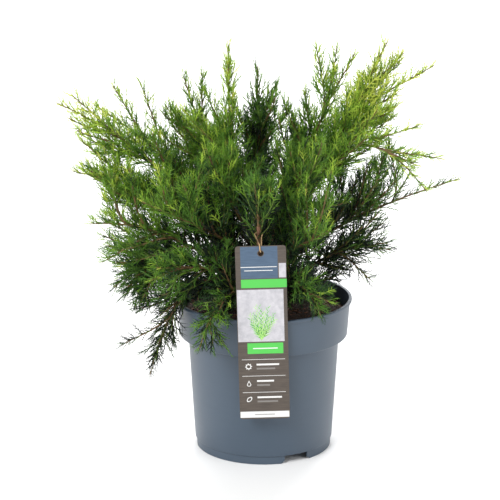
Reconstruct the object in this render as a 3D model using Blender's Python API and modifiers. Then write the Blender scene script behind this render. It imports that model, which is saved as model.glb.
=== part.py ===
"""A spreading juniper in a nursery pot, with a card label tied to one of its front boughs.

X runs to the right, Y to the back and Z up. The origin is the middle of the pot's underside.
The plant is a short trunk in the soil, tapering boughs that leave it, and a foliage mass on each.
"""

import collections
import math
import random

import bmesh
import bpy
import numpy as np
from mathutils import Matrix, Vector

MM = 0.001
CLEARANCE = 0.3 * MM

# Pot, turned about Z: a lip, a sloping collar, a tapering body and a foot ring
POT_SEGMENTS = 32
WALL = 1.5 * MM
RIM_RADIUS = 95.0 * MM
RIM_HEIGHT = 165.3 * MM
LIP_DEPTH = 3.0 * MM
LIP_OVERHANG = 1.9 * MM
COLLAR_RADIUS = 90.4 * MM
COLLAR_HEIGHT = 125.0 * MM
COLLAR_ROUND = 1.0 * MM
BODY_TOP_RADIUS = 81.5 * MM
BODY_FOOT_RADIUS = 74.6 * MM
FOOT_RADIUS = 73.4 * MM
FOOT_HEIGHT = 8.7 * MM
FOOT_THICKNESS = 2.0 * MM
FLOOR_THICKNESS = 1.8 * MM
PAD_RADIUS = 15.0 * MM
FOOT_GAPS = 3
FOOT_GAP_ANGLE = 21.6
FOOT_GAP_FIRST = -61.6
DRAIN_HOLES = 6
DRAIN_RADIUS = 4.5 * MM
DRAIN_CIRCLE = 52.0 * MM

# Soil, level round the trunk and a little uneven outside it
SOIL_TOP = 149.7 * MM
SOIL_SEGMENTS = 20
SOIL_LEVEL_RADIUS = 18.0 * MM
SOIL_BUMP = 1.6 * MM

# Trunk, from a flat cut at the soil to where its last boughs leave: height above the soil, radius
TRUNK_FOOT = SOIL_TOP + CLEARANCE
TRUNK_TOP = 88.0 * MM
TRUNK_LEAN = (-5.0 * MM, 3.0 * MM)
TRUNK_TAPER = ((0.0, 14.5), (4.0, 12.2), (12.0, 10.4), (34.0, 9.2), (62.0, 8.0), (88.0, 6.6))

# Label card, hanging in front of the lip, and the twine that holds it
CARD_WIDTH = 52.0 * MM
CARD_LENGTH = 187.0 * MM
CARD_THICKNESS = 0.6 * MM
CARD_CORNER = 3.0 * MM
CARD_TOP_HEIGHT = 247.0 * MM
CARD_TOP_X = -4.2 * MM
CARD_TURN = math.radians(1.6)
HOLE_RADIUS = 2.8 * MM
HOLE_DROP = 8.0 * MM
TWINE_RADIUS = 0.65 * MM
TIE_HEIGHT = 254.0 * MM

# Limbs: how a bough tapers, and how the stem of its foliage goes on from it
BOUGH_RADIUS = 2.9 * MM
STEM_RADIUS = 1.7 * MM
TIP_RADIUS = 0.5 * MM
COURSE_SAMPLES = 80
SAMPLES_ON_BOUGH = 4
SAMPLES_ON_STEM = 4
JOINT_SHARE = 0.03

# Foliage: a spray is a slim toothed blade, forward-swept like the twigs of the plant
SPRAY_PITCH = 36.0 * MM
SPRAY_ANGLE = math.radians(40.0)
SPRAY_THICKNESS = 1.3 * MM
SPRAY_TEETH = 2
TOOTH_ANGLE = math.radians(31.0)
GOLDEN_ANGLE = math.pi * (3.0 - math.sqrt(5.0))
SPACE_BETWEEN = 4.6 * MM
LIMB_MARGIN = 2.2 * MM
SEED = 1904

# One limb. Its tip is at a heading (0 is right, 90 back, 180 left, 270 front), a reach from the
# pot's axis and a height above the ground. It leaves the trunk at a foot height above the soil,
# rising at an angle, and arrives at its tip at another, negative where it droops. Its swing turns
# its start to one side of its tip, its bow is how full its curve is, its spread is how far its
# foliage stands out, and its bare part is the share that is bough. A shoot is a second tip.
Limb = collections.namedtuple(
    "Limb",
    "name heading reach height foot rise arrive spread bare swing bow shoots",
    defaults=(0.0, 0.4, ()),
)

LIMBS = (
    Limb("left_whip", 183, 220, 380, 50, 42, 24, 38, 0.36, shoots=((0.55, 187, 200, 389),)),
    Limb("left_upper", 165, 192, 367, 58, 50, 30, 38, 0.36,
         shoots=((0.5, 160, 173, 384), (0.3, 167, 135, 393))),
    Limb("left_tall", 161, 92, 405, 66, 56, 72, 34, 0.34, shoots=((0.45, 171, 66, 408),)),
    Limb("tall_left", 200, 40, 444, 70, 62, 88, 32, 0.36, shoots=((0.6, 212, 44, 426),)),
    Limb("centre", 100, 38, 412, 76, 62, 88, 32, 0.45, shoots=((0.35, 60, 22, 377),)),
    Limb("left_mid", 188, 205, 310, 40, 34, 12, 36, 0.34, shoots=((0.45, 185, 193, 341),)),
    Limb("left_low", 196, 200, 258, 31, 26, -4, 36, 0.34, shoots=((0.4, 198, 178, 218),)),
    Limb("left_lower", 180, 172, 163, 20, 26, -46, 34, 0.36, swing=-16, bow=0.5),
    Limb("left_droop", 207, 136, 92, 11, 42, -76, 32, 0.38, swing=4, bow=0.64,
         shoots=((0.45, 196, 158, 123),)),
    Limb("front_left_droop", 238, 126, 138, 7, 38, -72, 30, 0.36, swing=14, bow=0.55),
    Limb("front_left_low", 222, 158, 212, 25, 24, -18, 34, 0.34, swing=6),
    Limb("front_left_mid", 212, 150, 290, 48, 40, 28, 36, 0.34, swing=12),
    Limb("front_left", 229, 92, 345, 60, 52, 66, 36, 0.34, swing=8),
    Limb("front", 266, 100, 318, 32, 34, 76, 34, 0.66, bow=0.45),
    Limb("front_right_low", 296, 132, 178, 14, 24, -44, 34, 0.34, bow=0.45),
    Limb("front_right_mid", 300, 130, 268, 40, 40, 30, 36, 0.34),
    Limb("front_right", 308, 96, 352, 62, 54, 68, 36, 0.34),
    Limb("right_tall", 2, 76, 437, 76, 60, 84, 34, 0.34, swing=12,
         shoots=((0.55, 18, 58, 433), (0.5, 346, 96, 432))),
    Limb("right_high", 359, 130, 445, 66, 52, 64, 36, 0.34,
         shoots=((0.55, 5, 147, 427), (0.45, 2, 178, 415))),
    Limb("right_arch", 343, 178, 290, 52, 56, -52, 34, 0.36, bow=0.66,
         shoots=((0.6, 347, 188, 326), (0.35, 344, 166, 362))),
    Limb("right_far", 4, 212, 292, 42, 32, 16, 38, 0.34),
    Limb("right_low", 350, 138, 222, 22, 22, -16, 34, 0.34, shoots=((0.4, 342, 118, 194),)),
    Limb("back_right", 46, 160, 385, 58, 48, 52, 40, 0.34),
    Limb("back_right_low", 30, 182, 268, 30, 28, 6, 38, 0.34),
    Limb("back", 92, 158, 338, 52, 42, 38, 40, 0.34),
    Limb("back_low", 74, 162, 206, 16, 24, -26, 36, 0.34, bow=0.5),
    Limb("back_left", 130, 162, 350, 60, 46, 44, 40, 0.34, swing=-6),
    Limb("back_left_low", 142, 184, 262, 34, 28, 4, 38, 0.34),
)

# Masses whose stems leave the trunk itself, with no bough
BOUGHLESS = ("front_left_droop", "front_right_low", "back_low")
LABEL_LIMB = "front"

COLOURS = {
    "pot_plastic": ((0.128, 0.171, 0.216), 0.42),
    "soil": ((0.028, 0.018, 0.012), 0.95),
    "bark": ((0.165, 0.086, 0.052), 0.85),
    "foliage": ((0.094, 0.205, 0.036), 0.6),
    "card": ((0.42, 0.45, 0.42), 0.45),
    "twine": ((0.42, 0.27, 0.13), 0.9),
}


def clear_scene():
    for obj in list(bpy.data.objects):
        bpy.data.objects.remove(obj, do_unlink=True)


def new_collection(name, parent=None):
    collection = bpy.data.collections.new(name)
    (parent or bpy.context.scene.collection).children.link(collection)
    return collection


def material(slot, name):
    colour, roughness = COLOURS[slot]
    made = bpy.data.materials.new(name)
    made.use_nodes = True
    shader = made.node_tree.nodes["Principled BSDF"]
    shader.inputs["Base Color"].default_value = (*colour, 1.0)
    shader.inputs["Roughness"].default_value = roughness
    made.diffuse_color = (*colour, 1.0)
    return made


def add_object(name, data, collection, slot=None):
    obj = bpy.data.objects.new(name, data)
    collection.objects.link(obj)
    if slot:
        data.materials.clear()
        data.materials.append(material(slot, name))
    return obj


def mesh_from(bm, name):
    mesh = bpy.data.meshes.new(name)
    bmesh.ops.triangulate(bm, faces=bm.faces)
    bmesh.ops.recalc_face_normals(bm, faces=bm.faces)
    bm.to_mesh(mesh)
    bm.free()
    return mesh


def evaluated_mesh(obj):
    """The mesh of a curve, or of an object with its modifiers, with its loose caps welded."""
    bpy.context.view_layer.update()
    graph = bpy.context.evaluated_depsgraph_get()
    mesh = bpy.data.meshes.new_from_object(obj.evaluated_get(graph))
    mesh.transform(obj.matrix_world)
    bm = bmesh.new()
    bm.from_mesh(mesh)
    bpy.data.meshes.remove(mesh)
    bmesh.ops.remove_doubles(bm, verts=bm.verts, dist=0.001 * MM)
    return mesh_from(bm, obj.name)


def curve_tube(name, points, radii, sides_resolution, collection, closed=False):
    """A tube along points, as a curve with a bevel, whose radius follows radii."""
    curve = bpy.data.curves.new(name, "CURVE")
    curve.dimensions = "3D"
    curve.bevel_depth = 1.0
    curve.bevel_resolution = sides_resolution
    curve.use_fill_caps = not closed
    spline = curve.splines.new("POLY")
    spline.points.add(len(points) - 1)
    for point, place, radius in zip(spline.points, points, radii):
        point.co = (*place, 1.0)
        point.radius = radius
    spline.use_cyclic_u = closed
    return add_object(name, curve, collection)


def boolean(obj, other, operation, solver="EXACT"):
    modifier = obj.modifiers.new(operation.lower(), "BOOLEAN")
    modifier.operation = operation
    modifier.solver = solver
    if isinstance(other, bpy.types.Collection):
        modifier.operand_type = "COLLECTION"
        modifier.collection = other
    else:
        modifier.object = other
    return modifier


def as_cutter(obj):
    obj.hide_render = True
    obj.display_type = "WIRE"
    return obj


def cylinder(name, radius, height, centre, segments, collection):
    bm = bmesh.new()
    bmesh.ops.create_cone(
        bm, cap_ends=True, segments=segments, radius1=radius, radius2=radius, depth=height,
        matrix=Matrix.Translation(centre))
    return add_object(name, mesh_from(bm, name), collection)


def turned(name, profile, segments, collection, slot=None):
    """A profile of (radius, height) points turned about Z with a Screw modifier."""
    bm = bmesh.new()
    verts = [bm.verts.new((radius, 0.0, height)) for radius, height in profile]
    for first, second in zip(verts, verts[1:]):
        bm.edges.new((first, second))
    mesh = bpy.data.meshes.new(name)
    bm.to_mesh(mesh)
    bm.free()
    obj = add_object(name, mesh, collection, slot)
    screw = obj.modifiers.new("turn", "SCREW")
    screw.steps = segments
    screw.render_steps = segments
    screw.use_merge_vertices = True
    screw.merge_threshold = 0.01 * MM
    return obj


def body_radius(height):
    """The pot body's outer radius, which narrows evenly from the collar to the foot."""
    share = (height - FOOT_HEIGHT) / (COLLAR_HEIGHT - FOOT_HEIGHT)
    return BODY_FOOT_RADIUS + share * (BODY_TOP_RADIUS - BODY_FOOT_RADIUS)


def make_pot(parts, cutters):
    floor_top = FOOT_HEIGHT + FLOOR_THICKNESS
    collar_top = RIM_HEIGHT - LIP_DEPTH
    collar_top_radius = RIM_RADIUS - LIP_OVERHANG
    lip_round = 0.6 * MM
    inner = [
        (0.0, floor_top),
        (body_radius(floor_top) - WALL, floor_top),
        (BODY_TOP_RADIUS - WALL, COLLAR_HEIGHT + WALL),
        (COLLAR_RADIUS - WALL, COLLAR_HEIGHT + WALL),
        (collar_top_radius - WALL, RIM_HEIGHT),
    ]
    outer = [
        (RIM_RADIUS - lip_round, RIM_HEIGHT),
        (RIM_RADIUS, RIM_HEIGHT - lip_round),
        (RIM_RADIUS, collar_top + lip_round),
        (collar_top_radius, collar_top),
        (COLLAR_RADIUS + 0.1 * MM, COLLAR_HEIGHT + COLLAR_ROUND),
        (COLLAR_RADIUS - COLLAR_ROUND, COLLAR_HEIGHT),
        (BODY_TOP_RADIUS, COLLAR_HEIGHT),
        (BODY_FOOT_RADIUS, FOOT_HEIGHT),
        (FOOT_RADIUS, FOOT_HEIGHT),
        (FOOT_RADIUS, 0.0),
        (FOOT_RADIUS - FOOT_THICKNESS, 0.0),
        (FOOT_RADIUS - FOOT_THICKNESS, FOOT_HEIGHT),
        (PAD_RADIUS, FOOT_HEIGHT),
        (PAD_RADIUS, 0.0),
        (0.0, 0.0),
    ]
    pot = turned("pot", inner + outer, POT_SEGMENTS, parts, "pot_plastic")
    gap_width = 2.0 * FOOT_RADIUS * math.sin(math.radians(FOOT_GAP_ANGLE / 2.0))
    gap_depth = 4.0 * FOOT_THICKNESS
    for index in range(FOOT_GAPS):
        angle = math.radians(FOOT_GAP_FIRST + 360.0 / FOOT_GAPS * index)
        bm = bmesh.new()
        bmesh.ops.create_cube(bm, size=1.0)
        gap_height = FOOT_HEIGHT - 0.4 * MM
        place = (
            Matrix.Rotation(angle, 4, "Z")
            @ Matrix.Translation((FOOT_RADIUS - FOOT_THICKNESS / 2.0, 0.0, gap_height / 2.0 - 1.0 * MM))
            @ Matrix.Diagonal((gap_depth, gap_width, gap_height + 2.0 * MM, 1.0))
        )
        bm.transform(place)
        name = "foot_gap_%d" % index
        boolean(pot, as_cutter(add_object(name, mesh_from(bm, name), cutters)), "DIFFERENCE")
    for index in range(DRAIN_HOLES):
        angle = 2.0 * math.pi * (index + 0.5) / DRAIN_HOLES
        centre = (DRAIN_CIRCLE * math.cos(angle), DRAIN_CIRCLE * math.sin(angle), floor_top)
        hole = cylinder("drain_%d" % index, DRAIN_RADIUS, 4.0 * FLOOR_THICKNESS, centre, 8, cutters)
        boolean(pot, as_cutter(hole), "DIFFERENCE")
    return pot


def make_soil(parts):
    """Potting soil filling the pot 0.3 mm clear, its top uneven but level round the trunk."""
    bottom = FOOT_HEIGHT + FLOOR_THICKNESS + CLEARANCE
    shoulder = COLLAR_HEIGHT + WALL
    share = (SOIL_TOP - shoulder) / (RIM_HEIGHT - shoulder)
    inner_collar = COLLAR_RADIUS + share * (RIM_RADIUS - LIP_OVERHANG - COLLAR_RADIUS) - WALL
    facet = math.cos(math.pi / POT_SEGMENTS)
    profile = [
        (0.0, SOIL_TOP),
        (SOIL_LEVEL_RADIUS, SOIL_TOP),
        (46.0 * MM, SOIL_TOP),
        (72.0 * MM, SOIL_TOP),
        (inner_collar * facet - 2.0 * CLEARANCE, SOIL_TOP - SOIL_BUMP),
        ((COLLAR_RADIUS - WALL) * facet - CLEARANCE, shoulder + CLEARANCE),
        ((BODY_TOP_RADIUS - WALL) * facet - CLEARANCE, shoulder + CLEARANCE),
        ((body_radius(bottom) - WALL) * facet - CLEARANCE, bottom),
        (0.0, bottom),
    ]
    rough = turned("soil_form", profile, SOIL_SEGMENTS, parts)
    mesh = evaluated_mesh(rough)
    bpy.data.objects.remove(rough, do_unlink=True)
    rng = random.Random(SEED)
    for vert in mesh.vertices:
        radius = math.hypot(vert.co.x, vert.co.y)
        on_top = abs(vert.co.z - SOIL_TOP) < 0.01 * MM
        if on_top and radius > SOIL_LEVEL_RADIUS + 1.0 * MM:
            vert.co.z += rng.uniform(-SOIL_BUMP, SOIL_BUMP)
    return add_object("potting_soil", mesh, parts, "soil")


def trunk_axis(height):
    """The trunk's centre at a height above the soil. It stands upright at its foot, then leans."""
    share = max(height - TRUNK_TAPER[1][0] * MM, 0.0) / TRUNK_TOP
    x, y = (lean * share for lean in TRUNK_LEAN)
    return np.array((x, y, TRUNK_FOOT + height))


def trunk_tube(name, extra, collection):
    """The trunk, or the same form a little thicker all round, to cut its neighbours clear of it."""
    points = [trunk_axis(height * MM) for height, radius in TRUNK_TAPER]
    radii = [radius * MM + extra for height, radius in TRUNK_TAPER]
    points[-1] = points[-1] + np.array((0.0, 0.0, extra))
    return curve_tube(name, points, radii, 4, collection)


def make_trunk(parts, cutters):
    form = trunk_tube("trunk_form", 0.0, parts)
    trunk = add_object("trunk", evaluated_mesh(form), parts, "bark")
    bpy.data.objects.remove(form, do_unlink=True)
    form = trunk_tube("trunk_clearance_form", CLEARANCE, cutters)
    cutter = as_cutter(add_object("trunk_clearance", evaluated_mesh(form), cutters))
    bpy.data.objects.remove(form, do_unlink=True)
    return trunk, cutter


def polar(heading, reach, height):
    angle = math.radians(heading)
    return np.array((reach * math.cos(angle), reach * math.sin(angle), height)) * MM


def toward(heading, elevation):
    heading, elevation = math.radians(heading), math.radians(elevation)
    flat = math.cos(elevation)
    return np.array((math.cos(heading) * flat, math.sin(heading) * flat, math.sin(elevation)))


def bezier(start, leave, arrive, end, count):
    t = np.linspace(0.0, 1.0, count)[:, None]
    return ((1 - t) ** 3 * start + 3 * t * (1 - t) ** 2 * leave
            + 3 * t ** 2 * (1 - t) * arrive + t ** 3 * end)


def limb_course(limb):
    """Points along a limb, from the trunk's axis to its tip."""
    start = trunk_axis(limb.foot * MM)
    end = polar(limb.heading, limb.reach, limb.height)
    handle = limb.bow * np.linalg.norm(end - start)
    leave = start + handle * toward(limb.heading + limb.swing, limb.rise)
    arrive = end - handle * toward(limb.heading - limb.swing, limb.arrive)
    return bezier(start, leave, arrive, end, COURSE_SAMPLES)


def limb_radius(share, bare):
    """The limb's radius at a share of its length: the bough's taper, then the stem's."""
    if share <= bare:
        return BOUGH_RADIUS + (STEM_RADIUS + 0.2 * MM - BOUGH_RADIUS) * share / bare
    return STEM_RADIUS + (TIP_RADIUS - STEM_RADIUS) * (share - bare) / (1.0 - bare)


def lengths_along(points):
    steps = np.linalg.norm(np.diff(points, axis=0), axis=1)
    return np.concatenate(([0.0], np.cumsum(steps)))


def point_at(points, share):
    """The place and direction at a share of the length of a line of points."""
    run = lengths_along(points)
    where = min(max(share, 0.0), 1.0) * run[-1]
    place = np.array([np.interp(where, run, points[:, axis]) for axis in range(3)])
    near = int(np.clip(np.searchsorted(run, where), 1, len(points) - 1))
    direction = points[near] - points[near - 1]
    return place, direction / np.linalg.norm(direction)


def stretch(points, first, last, count):
    return np.array([point_at(points, share)[0] for share in np.linspace(first, last, count)])


class Crown:
    """The courses of all the limbs, which share the crown's room out among the masses."""

    def __init__(self, limbs):
        self.limbs = limbs
        self.courses = [limb_course(limb) for limb in limbs]
        self.spreads = np.array([limb.spread for limb in limbs]) * MM
        self.radii = np.array([
            [limb_radius(share, limb.bare) for share in np.linspace(0.0, 1.0, COURSE_SAMPLES)]
            for limb in limbs])

    def has_room(self, index, points):
        """Whether these points lie in the space of one limb's mass, clear of all that is near."""
        points = np.asarray(points)
        return self.in_own_space(index, points) and clear_of_pot(points) and clear_of_label(points)

    def in_own_space(self, index, points):
        gaps = np.linalg.norm(
            points[:, None, None, :] - np.array(self.courses)[None, :, :, :], axis=3)
        nearest = gaps.min(axis=2)
        scaled = nearest / self.spreads
        own = scaled[:, index:index + 1]
        smaller = np.minimum(self.spreads, self.spreads[index])
        lead = (scaled - own) * smaller
        surface = (gaps - self.radii).min(axis=2)
        others = np.arange(len(self.limbs)) != index
        trunk_gap = distance_to_trunk(points)
        bough = int(self.limbs[index].bare * COURSE_SAMPLES) + 1
        own_bough = (gaps - self.radii)[:, index, :bough]
        return bool(
            (lead[:, others] > SPACE_BETWEEN).all()
            and (surface[:, others] > LIMB_MARGIN).all()
            and (own_bough > LIMB_MARGIN).all()
            and (trunk_gap > LIMB_MARGIN).all())


def distance_to_trunk(points):
    heights = np.array([height for height, radius in TRUNK_TAPER]) * MM
    radii = np.array([radius for height, radius in TRUNK_TAPER]) * MM
    above = np.clip(points[:, 2] - TRUNK_FOOT, 0.0, TRUNK_TOP)
    centres = np.array([trunk_axis(height) for height in above])
    across = np.linalg.norm(points[:, :2] - centres[:, :2], axis=1) - np.interp(above, heights, radii)
    over = points[:, 2] - TRUNK_FOOT - TRUNK_TOP
    return np.maximum(across, over)


def clear_of_pot(points):
    """Clear of the lip and wall, above the soil inside and off the ground outside."""
    margin = 3.0 * MM
    radius = np.hypot(points[:, 0], points[:, 1])
    above_rim = points[:, 2] > RIM_HEIGHT + margin
    outside = (radius > RIM_RADIUS + margin) & (points[:, 2] > margin)
    inside = (radius < COLLAR_RADIUS - WALL - margin) & (points[:, 2] > SOIL_TOP + SOIL_BUMP + margin)
    return bool((above_rim | outside | inside).all())


def clear_of_label(points):
    """Out of the card's way, of the view onto it, and of the twine."""
    margin = 7.0 * MM
    beside = np.abs(points[:, 0] - CARD_TOP_X - 2.5 * MM) > CARD_WIDTH / 2.0 + margin
    behind = points[:, 1] > -RIM_RADIUS + margin
    above = points[:, 2] > CARD_TOP_HEIGHT + margin
    below = points[:, 2] < CARD_TOP_HEIGHT - CARD_LENGTH - margin
    twine = np.array((CARD_TOP_X, -RIM_RADIUS + 5.0 * MM, TIE_HEIGHT - 3.0 * MM))
    off_twine = np.linalg.norm(points - twine, axis=1) > 17.0 * MM
    return bool(((beside | behind | above | below) & off_twine).all())


def sideways(direction):
    """Two unit directions square to this one and to each other."""
    up = Vector((0.0, 0.0, 1.0)) if abs(direction[2]) < 0.95 else Vector((1.0, 0.0, 0.0))
    along = Vector(direction)
    across = along.cross(up).normalized()
    return np.array(across), np.array(across.cross(along).normalized())


def spray_outline(length, width):
    """The toothed outline of a spray: a slim axis with forward-swept teeth, alternate in place."""
    stalk = 0.24 * length
    root, waist = 1.5 * MM, 0.8 * MM
    step = (length - stalk) * 0.78 / SPRAY_TEETH
    sides = []
    for side, offset in ((1.0, 0.0), (-1.0, 0.5)):
        line = [(0.0, side * root)]
        for tooth in range(SPRAY_TEETH):
            foot = stalk + step * (tooth + offset)
            tooth_length = width * (1.0 - 0.62 * (tooth + offset) / SPRAY_TEETH)
            line.append((foot, side * waist))
            line.append((foot + tooth_length * math.cos(TOOTH_ANGLE),
                         side * tooth_length * math.sin(TOOTH_ANGLE)))
        line.append((stalk + step * (SPRAY_TEETH + offset), side * waist * 0.7))
        sides.append(line)
    return sides[0] + [(length, 0.0)] + sides[1][::-1]


class Spray:
    """One toothed blade: where it is rooted, how it lies and how it bends down along its length."""

    def __init__(self, root, along, face, length, width, sag):
        self.outline = spray_outline(length, width)
        along = Vector(along).normalized()
        across = along.cross(Vector(face)).normalized()
        normal = across.cross(along).normalized()
        self.place = Matrix((along, across, normal)).transposed().to_4x4()
        self.place.translation = Vector(root)
        self.length, self.sag = length, sag

    def bent(self, x, y, z):
        """A point of the flat blade, in its place, once the blade bends."""
        fall = self.sag * self.length * (x / self.length) ** 2
        return self.place @ Vector((x, y, z - fall))

    def samples(self):
        """Points over the blade, for testing its room; those at its own root are left out."""
        spine = [(self.length * share, 0.0) for share in (0.45, 0.6, 0.8, 1.0)]
        tips = [(x, y) for x, y in self.outline if abs(y) > 1.6 * MM]
        halves = [(x - 0.4 * abs(y), 0.55 * y) for x, y in tips]
        return [self.bent(x, y, 0.0) for x, y in spine + tips + halves]

    def mesh(self, name):
        bm = bmesh.new()
        half = SPRAY_THICKNESS / 2.0
        face = bm.faces.new([bm.verts.new((x, y, -half)) for x, y in self.outline])
        grown = bmesh.ops.extrude_face_region(bm, geom=[face])
        raised = [item for item in grown["geom"] if isinstance(item, bmesh.types.BMVert)]
        bmesh.ops.translate(bm, verts=raised, vec=(0.0, 0.0, 2.0 * half))
        bmesh.ops.triangulate(bm, faces=bm.faces)
        for vert in bm.verts:
            vert.co = self.bent(*vert.co)
        return mesh_from(bm, name)


def three_sided(points, radii, name):
    """A three-sided tapering twig along points, closed at both ends."""
    bm = bmesh.new()
    rings = []
    for index, place in enumerate(points):
        ahead = points[min(index + 1, len(points) - 1)] - points[max(index - 1, 0)]
        across, up = sideways(ahead / np.linalg.norm(ahead))
        turns = [2.0 * math.pi * side / 3.0 for side in range(3)]
        rings.append([
            bm.verts.new(place + radii[index] * (across * math.cos(turn) + up * math.sin(turn)))
            for turn in turns])
    for first, second in zip(rings, rings[1:]):
        for side in range(3):
            after = (side + 1) % 3
            bm.faces.new((first[side], first[after], second[after], second[side]))
    bm.faces.new(rings[0][::-1])
    bm.faces.new(rings[-1])
    return mesh_from(bm, name)


def leaders_of(crown, index):
    """The mass's main stem, with the share where it starts, and its shoots, as lines of points."""
    limb, course = crown.limbs[index], crown.courses[index]
    run = lengths_along(course)[-1]
    if limb.name in BOUGHLESS:
        shares = np.linspace(0.0, 1.0, 200)
        gaps = distance_to_trunk(np.array([point_at(course, share)[0] for share in shares]))
        start = shares[int(np.argmax(gaps > -STEM_RADIUS))]
    else:
        start = limb.bare + 1.5 * CLEARANCE / run
    stem = np.vstack((
        stretch(course, start, start, 1),
        stretch(course, start + JOINT_SHARE, 1.0, SAMPLES_ON_STEM)))
    shoots = []
    for share, heading, reach, height in limb.shoots:
        root, along = point_at(stem, share)
        tip = polar(heading, reach, height)
        handle = 0.35 * np.linalg.norm(tip - root)
        climb = (tip - root) / np.linalg.norm(tip - root)
        leave = root + handle * (along + climb) / 2.0
        shoots.append(bezier(root, leave, tip - handle * climb, tip, 3))
    return stem, shoots


def spray_at(limb, line, share, turn, rng):
    """A spray on a leader at a share of its length, turned round it by an angle."""
    root, along = point_at(line, share)
    across, up = sideways(along)
    out = across * math.cos(turn) + up * math.sin(turn)
    angle = SPRAY_ANGLE * (1.0 - 0.45 * share) * rng.uniform(0.85, 1.15)
    direction = along * math.cos(angle) + out * math.sin(angle) + np.array((0.0, 0.0, 0.12))
    length = limb.spread * MM * (1.6 - 0.62 * share) * rng.uniform(0.9, 1.1)
    face = np.cross(out, along) * rng.uniform(-0.7, 0.7) + np.cross(direction, np.cross(out, along))
    return Spray(root, direction, face, length, 0.42 * length, rng.uniform(-0.04, 0.10))


def grow_sprays(crown, index, line, first, rng):
    """Sprays by the golden angle along one leader; one that has no room is shortened or skipped."""
    limb = crown.limbs[index]
    count = max(2, round(lengths_along(line)[-1] * (1.0 - first) / SPRAY_PITCH))
    phase = rng.uniform(0.0, 2.0 * math.pi)
    for number in range(count):
        share = first + (0.93 - first) * (number + 0.35) / count
        made = spray_at(limb, line, share, phase + GOLDEN_ANGLE * number, rng)
        for attempt in range(3):
            if crown.has_room(index, made.samples()):
                yield made
                break
            made = spray_at(limb, line, share, phase + GOLDEN_ANGLE * (number + attempt + 1), rng)


def keep_outer_body(mesh):
    """Drops loose scraps and the faces of sealed hollows, leaving one body with its outer skin."""
    bm = bmesh.new()
    bm.from_mesh(mesh)
    bm.verts.ensure_lookup_table()
    seen, groups = set(), []
    for vert in bm.verts:
        if vert.index in seen:
            continue
        group, edge_of = [], [vert]
        seen.add(vert.index)
        while edge_of:
            here = edge_of.pop()
            group.append(here)
            for edge in here.link_edges:
                other = edge.other_vert(here)
                if other.index not in seen:
                    seen.add(other.index)
                    edge_of.append(other)
        groups.append(group)
    groups.sort(key=len)
    for group in groups[:-1]:
        bmesh.ops.delete(bm, geom=group, context="VERTS")
    bmesh.ops.triangulate(bm, faces=bm.faces)
    bm.to_mesh(mesh)
    bm.free()
    return mesh


def make_bough(crown, index, parts, trunk_cutter):
    """A tapering bough from inside the trunk to its tip, cut 0.3 mm clear of the trunk."""
    limb, course = crown.limbs[index], crown.courses[index]
    shares = list(np.linspace(0.0, limb.bare - JOINT_SHARE, SAMPLES_ON_BOUGH)) + [limb.bare]
    points = [point_at(course, share)[0] for share in shares]
    radii = [limb_radius(share, limb.bare) for share in shares]
    form = curve_tube("bough_form", points, radii, 1, parts)
    solid = add_object("bough_solid", evaluated_mesh(form), parts)
    bpy.data.objects.remove(form, do_unlink=True)
    boolean(solid, trunk_cutter, "DIFFERENCE")
    mesh = keep_outer_body(evaluated_mesh(solid))
    bpy.data.objects.remove(solid, do_unlink=True)
    return add_object("bough_" + limb.name, mesh, parts, "bark")


def make_mass(crown, index, parts, trunk_cutter):
    """One foliage mass: its stem, its shoots and its sprays, joined by one union."""
    limb = crown.limbs[index]
    rng = random.Random(SEED + index)
    stem, shoots = leaders_of(crown, index)
    twigs = new_collection("twigs_" + limb.name, parts)
    runs = lengths_along(stem)
    radii = STEM_RADIUS + (TIP_RADIUS - STEM_RADIUS) * runs / runs[-1]
    mass = add_object("foliage_" + limb.name, three_sided(stem, radii, "stem"), parts)
    first = 0.13 if limb.name not in BOUGHLESS else 0.34
    pieces = list(grow_sprays(crown, index, stem, first, rng))
    for shoot in shoots:
        radii = np.linspace(STEM_RADIUS * 0.7, TIP_RADIUS, len(shoot))
        add_object("shoot", three_sided(shoot, radii, "shoot"), twigs)
        pieces += grow_sprays(crown, index, shoot, 0.25, rng)
    for piece in pieces:
        add_object("spray", piece.mesh("spray"), twigs)
    boolean(mass, twigs, "UNION", "MANIFOLD")
    if limb.name in BOUGHLESS:
        boolean(mass, trunk_cutter, "DIFFERENCE")
    mesh = keep_outer_body(evaluated_mesh(mass))
    for obj in list(twigs.objects) + [mass]:
        bpy.data.objects.remove(obj, do_unlink=True)
    bpy.data.collections.remove(twigs)
    return add_object("foliage_" + limb.name, mesh, parts, "foliage")


def card_place():
    """Moves a card drawn flat, its top middle at the origin and its length down -Y, into place."""
    middle = -RIM_RADIUS - CLEARANCE - CARD_THICKNESS / 2.0
    return (Matrix.Translation((CARD_TOP_X, middle, CARD_TOP_HEIGHT))
            @ Matrix.Rotation(-CARD_TURN, 4, "Y")
            @ Matrix.Rotation(math.pi / 2.0, 4, "X"))


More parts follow.
